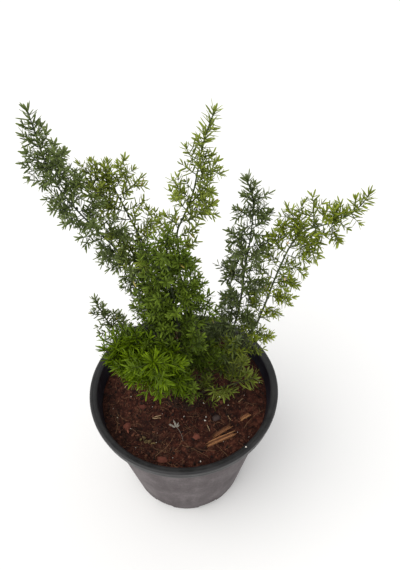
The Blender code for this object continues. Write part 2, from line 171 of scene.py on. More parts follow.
def grain(tree, place, scale, detail=4.0, roughness=0.6):
    made = add_node(
        tree, "ShaderNodeTexNoise", Vector=place, Scale=scale, Detail=detail, Roughness=roughness
    )
    return made.outputs["Fac"]


def ramp(tree, value, stops):
    """Colours read off a scale of (position, colour) stops."""
    made = add_node(tree, "ShaderNodeValToRGB", Fac=value)
    scale = made.color_ramp
    while len(scale.elements) < len(stops):
        scale.elements.new(1.0)
    for element, (position, colour) in zip(scale.elements, stops):
        element.position = position
        element.color = (*colour, 1.0)
    return made.outputs["Color"]


def blend(tree, factor, first, second, how="MIX"):
    made = add_node(tree, "ShaderNodeMix", {"data_type": "RGBA", "blend_type": how})
    for socket, value in ((0, factor), (6, first), (7, second)):
        if isinstance(value, bpy.types.NodeSocket):
            tree.links.new(value, made.inputs[socket])
        elif socket == 0:
            made.inputs[0].default_value = value
        else:
            made.inputs[socket].default_value = (*value, 1.0)
    return made.outputs[2]


def range_of(tree, value, low, high, to_low=0.0, to_high=1.0):
    made = add_node(tree, "ShaderNodeMapRange", Value=value)
    for name, number in (
        ("From Min", low),
        ("From Max", high),
        ("To Min", to_low),
        ("To Max", to_high),
    ):
        made.inputs[name].default_value = number
    return made.outputs["Result"]


def maths(tree, operation, first, second):
    made = add_node(tree, "ShaderNodeMath", {"operation": operation})
    for socket, value in zip(made.inputs, (first, second)):
        if isinstance(value, bpy.types.NodeSocket):
            tree.links.new(value, socket)
        else:
            socket.default_value = value
    return made.outputs["Value"]


def bump(tree, shader, height, distance, strength=1.0):
    made = add_node(
        tree, "ShaderNodeBump", Height=height, Distance=distance, Strength=strength
    )
    tree.links.new(made.outputs["Normal"], shader.inputs["Normal"])


def colour_to(tree, shader, colour):
    tree.links.new(colour, shader.inputs["Base Color"])


def tint_of(tree):
    return add_node(tree, "ShaderNodeAttribute", {"attribute_name": "tint"}).outputs["Fac"]


def uv_of(tree):
    return add_node(tree, "ShaderNodeUVMap").outputs["UV"]


def dimmed(tree, colour, brightness):
    """A colour made brighter or darker by a number."""
    channels = dict.fromkeys(("Red", "Green", "Blue"), brightness)
    grey = add_node(tree, "ShaderNodeCombineColor", **channels)
    return blend(tree, 1.0, colour, grey.outputs["Color"], "MULTIPLY")


def foliage_finish(name, colour, roughness=0.5):
    """Needle leaves: a shade for each needle, paler towards its tip, with a groove down it."""
    material, tree, shader = new_finish(name, roughness, 0.15)
    red, green, blue = colour
    # Tones run from dark to pale green, then to straw for dead needles. The range is stretched wider
    # than the leaves' own, so the darkest needles carry painted shade and the palest painted
    # highlights
    tones_and_painted_light = [
        (0.00, (red * 0.34, green * 0.37, blue * 0.42)),
        (0.50, colour),
        (0.91, (red * 1.80, green * 1.68, blue * 2.20)),
        (0.95, (0.380, 0.300, 0.080)),
    ]
    tint = tint_of(tree)
    patches = grain(tree, place_of(tree), 38.0, 2.0)
    drift = range_of(tree, patches, 0.3, 0.7, -0.05, 0.05)
    leaf = ramp(tree, maths(tree, "ADD", tint, drift), tones_and_painted_light)
    along = add_node(tree, "ShaderNodeSeparateXYZ", Vector=uv_of(tree))
    paler = range_of(tree, along.outputs["Y"], 0.2, 1.0, 0.80, 1.22)
    colour_to(tree, shader, dimmed(tree, leaf, paler))
    rib = add_node(
        tree,
        "ShaderNodeTexWave",
        {"wave_type": "BANDS", "bands_direction": "X", "wave_profile": "SIN"},
        Vector=uv_of(tree),
        Scale=0.32,
    )
    bump(tree, shader, rib.outputs["Fac"], 0.08 * MM, 0.6)
    return material


def stem_finish(name, young, old):
    """Stems and twigs: fine lengthwise ridges, green above and browner towards the foot."""
    material, tree, shader = new_finish(name, 0.55, 0.4)
    place = place_of(tree)
    height = add_node(tree, "ShaderNodeSeparateXYZ", Vector=place).outputs["Z"]
    aged = range_of(tree, height, SOIL_LINE, SOIL_LINE + 0.16, 1.0, 0.0)
    mottle = grain(tree, place, 420.0, 3.0)
    skin = blend(tree, aged, young, old)
    dark = blend(tree, range_of(tree, mottle, 0.35, 0.7), (0.55, 0.55, 0.5), (1.15, 1.12, 1.0))
    colour_to(tree, shader, blend(tree, 1.0, skin, dark, "MULTIPLY"))
    ridges = grain(tree, stretched(tree, place, (1.0, 1.0, 0.08)), 2600.0, 2.0)
    bump(tree, shader, ridges, 0.15 * MM, 0.7)
    return material


def plastic_finish(name, dark, light, roughness, scale=60.0):
    """Moulded plastic with a fine satin grain, faint scuffs and settled dust."""
    material, tree, shader = new_finish(name, roughness, 0.4)
    place = place_of(tree)
    scuffs = grain(tree, place, scale, 6.0, 0.65)
    colour_to(tree, shader, ramp(tree, scuffs, [(0.35, dark), (0.68, light)]))
    worn = range_of(tree, scuffs, 0.3, 0.7, roughness - 0.1, roughness + 0.15)
    tree.links.new(worn, shader.inputs["Roughness"])
    bump(tree, shader, grain(tree, place, 2400.0, 2.0), 0.05 * MM, 0.5)
    return material


def dusty_finish():
    """The pot's outside wall: charcoal plastic under a grey-mauve film of dried dust."""
    material, tree, shader = new_finish("pot_dusty_wall", 0.78, 0.25)
    place = place_of(tree)
    cloud = grain(tree, place, 26.0, 7.0, 0.62)
    runs = grain(tree, stretched(tree, place, (1.0, 1.0, 0.10)), 95.0, 4.0, 0.6)
    film = blend(tree, 0.30, ramp(tree, cloud, DUST_SHADES), ramp(tree, runs, DUST_SHADES))
    dust = range_of(tree, grain(tree, place, 420.0, 5.0, 0.75), 0.3, 0.7, 0.80, 1.22)
    film = dimmed(tree, film, dust)
    spots = add_node(tree, "ShaderNodeTexVoronoi", Vector=place, Scale=240.0)
    near = range_of(tree, spots.outputs["Distance"], 0.06, 0.16)
    some = range_of(tree, grain(tree, place, 55.0, 2.0), 0.50, 0.56, 1.0, 0.0)
    speck = maths(tree, "MAXIMUM", near, some)
    film = blend(tree, speck, (0.075, 0.062, 0.060), film)
    height = add_node(tree, "ShaderNodeSeparateXYZ", Vector=place).outputs["Z"]
    low = range_of(tree, height, 0.0, 0.035, 0.82, 1.0)
    colour_to(tree, shader, dimmed(tree, film, low))
    bump(tree, shader, grain(tree, place, 900.0, 5.0), 0.08 * MM, 0.5)
    return material


DUST_SHADES = [
    (0.30, (0.072, 0.059, 0.061)),
    (0.50, (0.108, 0.092, 0.095)),
    (0.70, (0.180, 0.158, 0.162)),
]


def soil_finish():
    """Damp coir and bark: red-brown crumbs, with painted near-black shade between them."""
    material, tree, shader = new_finish("potting_soil", 0.92, 0.25)
    place = place_of(tree)
    clods = grain(tree, place, 190.0, 8.0, 0.7)
    patches = grain(tree, place, 30.0, 3.0)
    # The darkest stop is painted shade in the gaps between crumbs; the others are the crumbs' own
    # tones
    crumb = ramp(
        tree,
        clods,
        [
            (0.34, (0.0050, 0.0010, 0.0006)),
            (0.50, (0.040, 0.0100, 0.0050)),
            (0.68, (0.120, 0.050, 0.030)),
        ],
    )
    patch = ramp(tree, patches, [(0.35, (0.62, 0.55, 0.52)), (0.65, (1.25, 1.05, 1.0))])
    colour_to(tree, shader, blend(tree, 1.0, crumb, patch, "MULTIPLY"))
    bump(tree, shader, grain(tree, place, 700.0, 8.0, 0.75), 1.2 * MM, 0.9)
    return material


def bark_finish(name, dark, light, scale=320.0):
    """Crumbs, bark and fibres: a shade for each piece, over its own fine grain."""
    material, tree, shader = new_finish(name, 0.85, 0.3)
    place = place_of(tree)
    tint = tint_of(tree)
    skin = ramp(tree, tint, [(0.0, dark), (1.0, light)])
    mottle = range_of(tree, grain(tree, place, scale, 6.0, 0.7), 0.3, 0.7, 0.55, 1.35)
    colour_to(tree, shader, dimmed(tree, skin, mottle))
    bump(tree, shader, grain(tree, place, scale * 2.5, 6.0, 0.7), 0.4 * MM, 0.8)
    return material


def wood_finish():
    """Split softwood: long orange-brown grain, with painted shade in the dark lines between the
    fibres.
    """
    material, tree, shader = new_finish("split_wood", 0.8, 0.3)
    tint = tint_of(tree)
    along = uv_of(tree)
    fibres = grain(tree, stretched(tree, along, (0.6, 9.0, 1.0)), 5.0, 6.0, 0.65)
    shade = maths(tree, "ADD", fibres, range_of(tree, tint, 0.0, 1.0, -0.14, 0.14))
    # The near-black stop is painted shade in the cracks between the fibres; the other stops are the
    # wood's own grain
    grain_and_crack_shade = ramp(
        tree,
        shade,
        [
            (0.32, (0.026, 0.008, 0.005)),
            (0.45, (0.200, 0.078, 0.032)),
            (0.64, (0.500, 0.245, 0.105)),
        ],
    )
    colour_to(tree, shader, grain_and_crack_shade)
    bump(tree, shader, fibres, 0.5 * MM, 0.9)
    return material


def plain_finish(name, dark, light, scale, roughness=0.85):
    """A light-coloured bit whose shade wanders a little, such as perlite or a dry leaf."""
    material, tree, shader = new_finish(name, roughness, 0.3)
    shade = grain(tree, place_of(tree), scale, 5.0, 0.6)
    colour_to(tree, shader, ramp(tree, shade, [(0.35, dark), (0.65, light)]))
    bump(tree, shader, shade, 0.2 * MM, 0.6)
    return material


LEAF_COLOURS = {
    "tall_left": (0.104, 0.140, 0.036),
    "centre_left": (0.140, 0.180, 0.022),
    "upright": (0.160, 0.205, 0.026),
    "dark_right": (0.088, 0.118, 0.032),
    "arching_right": (0.150, 0.192, 0.014),
    "low_left": (0.092, 0.122, 0.032),
    "middle": (0.080, 0.124, 0.009),
    "front_young": (0.084, 0.138, 0.001),
    "low_front": (0.098, 0.126, 0.014),
}
LEAVES = {name: foliage_finish(name + "_leaf", shade) for name, shade in LEAF_COLOURS.items()}
DARK_STEM = stem_finish("dark_stem", (0.036, 0.054, 0.020), (0.050, 0.036, 0.018))
BRIGHT_STEM = stem_finish("bright_stem", (0.060, 0.090, 0.020), (0.056, 0.042, 0.020))
POT_WALL = dusty_finish()
POT_RIM = plastic_finish("pot_rim", (0.009, 0.009, 0.010), (0.026, 0.025, 0.026), 0.42)
# The inside is the rim's plastic painted darker and bluer: painted shade with a painted bluish sheen
SHADED_POT_INSIDE = plastic_finish("pot_inside_painted_shade", (0.004, 0.004, 0.008), (0.013, 0.012, 0.019), 0.50)
SOIL = soil_finish()
CRUMBS = bark_finish("coir_crumbs", (0.0085, 0.0020, 0.0010), (0.160, 0.058, 0.031))
FIBRES = bark_finish("coir_fibres", (0.070, 0.030, 0.016), (0.300, 0.165, 0.085))
RED_BARK = bark_finish("red_bark", (0.080, 0.020, 0.012), (0.215, 0.068, 0.042), 210.0)
ROOT_BARK = bark_finish("root_bark", (0.026, 0.011, 0.006), (0.130, 0.064, 0.034), 260.0)
MOSS = plain_finish("mossy_bark", (0.034, 0.022, 0.008), (0.170, 0.120, 0.046), 420.0)
PEBBLE = plain_finish("dark_pebble", (0.024, 0.014, 0.013), (0.068, 0.045, 0.040), 260.0)
PERLITE = plain_finish("perlite", (0.560, 0.500, 0.430), (0.860, 0.820, 0.760), 900.0)
STRAW = plain_finish("straw", (0.270, 0.170, 0.085), (0.520, 0.370, 0.210), 420.0)
DRY_LEAF = plain_finish("dry_leaf", (0.150, 0.128, 0.105), (0.430, 0.400, 0.350), 520.0)
BUD = plain_finish("bud", (0.420, 0.300, 0.160), (0.700, 0.560, 0.360), 900.0)
WOOD = wood_finish()


# Making pieces


def finish_piece(name, bm, materials, replaced=(), smooth=35.0):
    """Turn a bmesh into a piece in place, riding on the row's one body."""
    mesh = bpy.data.meshes.new(name)
    bm.to_mesh(mesh)
    bm.free()
    mesh.shade_smooth()
    mesh.set_sharp_from_angle(angle=math.radians(smooth))
    for material in materials:
        mesh.materials.append(material)
    piece = bpy.data.objects.new(name, mesh)
    bpy.context.scene.collection.objects.link(piece)
    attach(piece, "root")
    for node in replaced:
        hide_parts(node)


def outwards(bm):
    """Point every face of a closed bmesh outwards."""
    bmesh.ops.recalc_face_normals(bm, faces=bm.faces)
    if bm.calc_volume(signed=True) < 0.0:
        bmesh.ops.reverse_faces(bm, faces=bm.faces)


def sliced(bm, place, direction):
    """Cut every face of a bmesh along a plane, keeping both sides."""
    whole = [*bm.verts, *bm.edges, *bm.faces]
    bmesh.ops.bisect_plane(bm, geom=whole, plane_co=place, plane_no=direction)


def rounded(bm, edges, offset, segments, clamp):
    bmesh.ops.bevel(
        bm, geom=edges, offset=offset, affect="EDGES", segments=segments, profile=0.5,
        material=-1, clamp_overlap=clamp,
    )


def tapered(first, last, count):
    """Evenly changing numbers from the first to the last, over a count of steps."""
    return [first + (last - first) * index / count for index in range(count + 1)]


def turned(profile, segments):
    """Spin an outline of (radius, height) points round the z axis into a closed bmesh."""
    bm = bmesh.new()
    points = [bm.verts.new((radius, 0.0, height)) for radius, height in profile]
    edges = [bm.edges.new(pair) for pair in zip(points, points[1:])]
    if profile[0][0] > 0.0:
        edges.append(bm.edges.new((points[-1], points[0])))
    bmesh.ops.spin(
        bm,
        geom=points + edges,
        cent=(0, 0, 0),
        axis=(0, 0, 1),
        angle=math.tau,
        steps=segments,
        use_merge=True,
    )
    bmesh.ops.remove_doubles(bm, verts=bm.verts, dist=MERGE_DISTANCE)
    outwards(bm)
    return bm


class Bundle:
    """One piece gathered from many small shapes. Each shape brings its own shade, called tint."""

    def __init__(self):
        self.bm = bmesh.new()

    def add(self, blank, places, tint):
        """Add a copy of a blank with its points at these places."""
        mesh = blank.mesh
        mesh.vertices.foreach_set("co", np.ascontiguousarray(places, np.float32).ravel())
        mesh.attributes["tint"].data.foreach_set("value", np.full(len(places), tint, np.float32))
        self.bm.from_mesh(mesh)

    def add_turned(self, blank, matrix, tint):
        """Add a copy of a blank moved by a matrix."""
        grid = np.array(matrix)
        self.add(blank, blank.points @ grid[:3, :3].T + grid[:3, 3], tint)

    def add_once(self, blank, tint, matrix=None):
        """Add a blank that is used only here, moved by a matrix if there is one."""
        if matrix is None:
            self.add(blank, blank.points, tint)
        else:
            self.add_turned(blank, matrix, tint)
        bpy.data.meshes.remove(blank.mesh)


class Blank:
    """A small shape to copy: its mesh, with a tint attribute, and its points as an array."""

    def __init__(self, name, bm, material_index=0):
        for face in bm.faces:
            face.material_index = material_index
        self.mesh = bpy.data.meshes.new(name)
        bm.to_mesh(self.mesh)
        bm.free()
        self.mesh.attributes.new("tint", "FLOAT", "POINT")
        flat = np.zeros(len(self.mesh.vertices) * 3, np.float32)
        self.mesh.vertices.foreach_get("co", flat)
        self.points = flat.reshape(-1, 3).astype(float)


def needle_blank(curve):
    """A flat pointed needle, one unit wide and one long, with its foot at the origin."""
    bm = bmesh.new()
    bmesh.ops.create_cone(
        bm, cap_ends=True, segments=4, radius1=0.5, radius2=0.0, depth=1.0
    )
    bmesh.ops.translate(bm, verts=bm.verts, vec=(0.0, 0.0, 0.5))
    bmesh.ops.remove_doubles(bm, verts=bm.verts, dist=1e-4)
    for height in list(NEEDLE_OUTLINE)[1:]:
        sliced(bm, (0, 0, height), (0, 0, 1))
    for height, width in NEEDLE_OUTLINE.items():
        ring = [vertex for vertex in bm.verts if abs(vertex.co.z - height) < 1e-4]
        radius = max(vertex.co.xy.length for vertex in ring)
        grow = 0.5 * width / radius
        bmesh.ops.scale(bm, verts=ring, vec=(grow, grow * NEEDLE_FLATNESS, 1.0))
    uv = bm.loops.layers.uv.new("UVMap")
    for face in bm.faces:
        for loop in face.loops:
            loop[uv].uv = (loop.vert.co.x + 0.5, loop.vert.co.z)
    for vertex in bm.verts:
        vertex.co.y += curve * vertex.co.z**2
    outwards(bm)
    return Blank("needle", bm)


NEEDLES = [needle_blank(curve) for curve in (-0.5, 0.3, 0.9)]


def tube_blank(points, radii, sides, material_index):
    """A closed tapering tube along a line of points."""
    bm = bmesh.new()
    ring = bmesh.ops.create_circle(bm, segments=sides, radius=1.0)["verts"]
    edges = list(bm.edges)
    side = (points[1] - points[0]).orthogonal().normalized()
    last = Matrix.Identity(4)
    for index, (point, radius) in enumerate(zip(points, radii)):
        before = points[max(index - 1, 0)]
        after = points[min(index + 1, len(points) - 1)]
        heading = (after - before).normalized()
        side = (side - side.dot(heading) * heading).normalized()
        turn = Matrix((side, heading.cross(side), heading)).transposed().to_4x4()
        here = Matrix.Translation(point) @ turn @ Matrix.Diagonal((radius, radius, radius, 1.0))
        if index > 0:
            grown = bmesh.ops.extrude_edge_only(bm, edges=edges)["geom"]
            ring = [item for item in grown if isinstance(item, bmesh.types.BMVert)]
            kept = set(ring)
            edges = [
                item
                for item in grown
                if isinstance(item, bmesh.types.BMEdge) and kept.issuperset(item.verts)
            ]
        else:
            bmesh.ops.contextual_create(bm, geom=edges)
        bmesh.ops.transform(bm, matrix=here @ last.inverted(), verts=ring)
        last = here
    bmesh.ops.contextual_create(bm, geom=edges)
    outwards(bm)
    return Blank("tube", bm, material_index)


# Lines that stems and sprays follow


class Line:
    """A smooth line through space, read by distance along it."""

    def __init__(self, points):
        gaps = [(after - before).length for before, after in zip(points, points[1:])]
        self.points = points
        self.reached = np.concatenate([[0.0], np.cumsum(gaps)])
        self.length = float(self.reached[-1])

    def at(self, distance):
        """The point and the heading at a distance from the foot."""
        index = int(np.searchsorted(self.reached, distance)) - 1
        index = min(max(index, 0), len(self.points) - 2)
        start, end = self.points[index], self.points[index + 1]
        gap = max(float(self.reached[index + 1] - self.reached[index]), 1e-9)
        share = min(max((distance - float(self.reached[index])) / gap, 0.0), 1.0)
        return start.lerp(end, share), (end - start).normalized()

    def trimmed(self, spare):
        """The line less a spare length at its tip, so that the last needles end where it did."""
        kept = max(self.length - spare, 0.45 * self.length)
        points = [
            point for point, reached in zip(self.points, self.reached) if reached < kept - 1e-6
        ]
        return Line([*points, self.at(kept)[0]])

    def resampled(self, step):
        count = max(2, round(self.length / step))
        return [self.at(self.length * index / count)[0] for index in range(count + 1)]


def smoothed(points, steps=6):
    """A Catmull-Rom curve through the points."""
    padded = [2 * points[0] - points[1], *points, 2 * points[-1] - points[-2]]
    fine = []
    for before, start, end, after in zip(padded, padded[1:], padded[2:], padded[3:]):
        for step in range(steps):
            t = step / steps
            fine.append(
                0.5
                * (
                    2 * start
                    + (end - before) * t
                    + (2 * before - 5 * start + 4 * end - after) * t**2
                    + (3 * start - before - 3 * end + after) * t**3
                )
            )
    return [*fine, points[-1]]


def is_needle_tip(vertex):
    """A CAD needle's tip joins the four corners of one side of its tube, which lie together."""
    if len(vertex.link_edges) != 4:
        return False
    if min(edge.calc_length() for edge in vertex.link_edges) < 1.2 * MM:
        return False
    corners = [edge.other_vert(vertex).co for edge in vertex.link_edges]
    return max((one - other).length for one in corners for other in corners) < 2.6 * MM


def centre_line(node, stem=None):
    """The centre line of a CAD stem, or of a spray on a stem, found ring by ring from its foot."""
    bm = bmesh.new()
    bm.from_mesh(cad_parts[node].data)
    bmesh.ops.remove_doubles(bm, verts=bm.verts, dist=MERGE_DISTANCE)
    bm.verts.index_update()
    tube = [vertex for vertex in bm.verts if not is_needle_tip(vertex)]
    if stem is None:
        lowest = min(vertex.co.z for vertex in tube)
        ring = {vertex for vertex in tube if vertex.co.z < lowest + 0.05 * MM}
    else:
        axis = np.array(stem.resampled(MM))
        gaps = [float(((axis - np.array(vertex.co)) ** 2).sum(1).min()) for vertex in tube]
        first = tube[int(np.argmin(gaps))]
        ring = {vertex for vertex in tube if (vertex.co - first.co).length < 1.3 * MM}
    left = set(tube) - ring
    centres = []
    while ring:
        # Summed in a fixed order, so that every run gives the same line
        ordered = sorted(ring, key=lambda vertex: vertex.index)
        centres.append(sum((vertex.co for vertex in ordered), Vector()) / len(ordered))
        near = {edge.other_vert(vertex) for vertex in ring for edge in vertex.link_edges}
        ring = near & left
        left -= ring
    bm.free()
    return Line(smoothed(centres))


def sprig_line(start, heading, reach, sag=0.10):
    """A branchlet's line: out from its stem, sagging a little, then rising to its tip."""
    outward = reach - reach.dot(heading) * heading
    knee = start + outward.normalized() * 1.5 * MM + reach * 0.05
    tip = start + reach
    middle = knee.lerp(tip, 0.5) - UP * sag * reach.length
    curve = [knee.lerp(middle, t / 8).lerp(middle.lerp(tip, t / 8), t / 8) for t in range(9)]
    return Line([start, *curve])


# Foliage


def around(heading, bearing, lean, reference=UP):
    """A direction that leans from the heading, at a bearing round it from a reference."""
    level = reference - reference.dot(heading) * heading
    level = level.normalized() if level.length > 0.1 else heading.orthogonal().normalized()
    level.rotate(Quaternion(heading, bearing))
    return (heading * math.cos(lean) + level * math.sin(lean)).normalized()


class Growth:
    """Grows needles and twigs into one piece, with the habits of its frond."""

    def __init__(self, frond, seed):
        self.bundle = Bundle()
        self.frond = frond
        self.chance = random.Random(seed)

    def needle(self, root, direction, facing, length, shade):
        """Place one needle at its root, with its flat side turned towards facing."""
        chance = self.chance
        normal = facing - facing.dot(direction) * direction
        if normal.length < 0.05:
            normal = direction.orthogonal()
        normal.normalize()
        normal.rotate(Quaternion(direction, chance.gauss(0.0, 0.5)))
        side = normal.cross(direction)
        width = NEEDLE_WIDTH * self.frond["width"] * chance.uniform(0.82, 1.12)
        blank = chance.choice(NEEDLES)
        points = blank.points
        places = (
            np.array(root)
            + np.outer(points[:, 0] * width, side)
            + np.outer(points[:, 1] * width, normal)
            + np.outer(points[:, 2] * length, direction)
        )
        tint = min(max(shade + chance.gauss(0.0, 0.15), 0.0), GREENEST)
        if chance.random() < self.frond["dry"]:
            tint = 1.0
        self.bundle.add(blank, places, tint)

    def cluster(self, point, heading, bearing, count, lean, length, shade):
        """A whorl of needles that spread from one point."""
        chance = self.chance
        for index in range(count):
            turn = bearing + math.tau * (index + chance.uniform(-0.22, 0.22)) / count
            direction = around(heading, turn, lean + chance.gauss(0.0, 0.16))
            direction = (direction + UP * 0.10).normalized()
            reach = length * chance.uniform(0.72, 1.12)
            self.needle(point, direction, heading, reach, shade)

    def clothe(self, line, start, shade, length):
        """Whorls from a distance along a line to its tip, closing into a pointed tuft."""
        chance = self.chance
        count = self.frond["whorl"]
        bearing = chance.uniform(0.0, math.tau)
        distance = start
        while distance < line.length - 0.8 * MM:
            share = distance / line.length
            left = line.length - distance
            point, heading = line.at(distance)
            closing = max(0.0, 1.0 - left / TUFT_LENGTH)
            lean = math.radians(WHORL_LEAN + (self.frond["tuft"] - TUFT_BASE) * closing)
            reach = length * (1.0 - 0.10 * share - 0.16 * closing)
            number = count - (chance.random() < 0.35) + (chance.random() < 0.2)
            self.cluster(point, heading, bearing, number, lean, reach, shade + 0.12 * share)
            bearing += GOLDEN_ANGLE
            distance += self.frond["spacing"] * chance.uniform(0.82, 1.18)
        point, heading = line.at(line.length)
        tuft = math.radians(self.frond["tuft"])
        self.cluster(point, heading, bearing, count, tuft, length * 0.76, shade + 0.16)

    def twig(self, line, radii):
        """A square twig along a line, with its radii at the foot and at the tip."""
        points = line.resampled(3.0 * MM)
        blank = tube_blank(points, tapered(*radii, len(points) - 1), 4, 1)
        self.bundle.add_once(blank, self.chance.random())

    def branchlet(self, line, shade, bare=4.0 * MM):
        """A twig with its whorls, and side twigs where it is long enough to fork."""
        frond, chance = self.frond, self.chance
        line = line.trimmed(0.62 * frond["needle"])
        self.twig(line, BRANCHLET_RADII)
        self.clothe(line, bare, shade, frond["needle"])
        forks = int((line.length - 6.0 * MM) / frond["fork_step"])
        turn = chance.choice((0.0, math.pi))
        for index in range(forks):
            share = 0.20 + 0.62 * (index + 0.5) / forks
            point, heading = line.at(share * line.length)
            length = (line.length * (1.0 - share) * 0.6 + 2.5 * MM) * chance.uniform(0.85, 1.2)
            length = min(length, LONGEST_FORK)
            lean = math.radians(chance.uniform(48.0, 64.0))
            direction = around(heading, turn + chance.gauss(0.0, 0.5), lean)
            fork = sprig_line(point, heading, direction * length, 0.04)
            self.twig(fork, FORK_RADII)
            fork_shade = shade + chance.uniform(-0.08, 0.10)
            self.clothe(fork, 2.5 * MM, fork_shade, frond["needle"] * 0.94)
            turn += math.pi


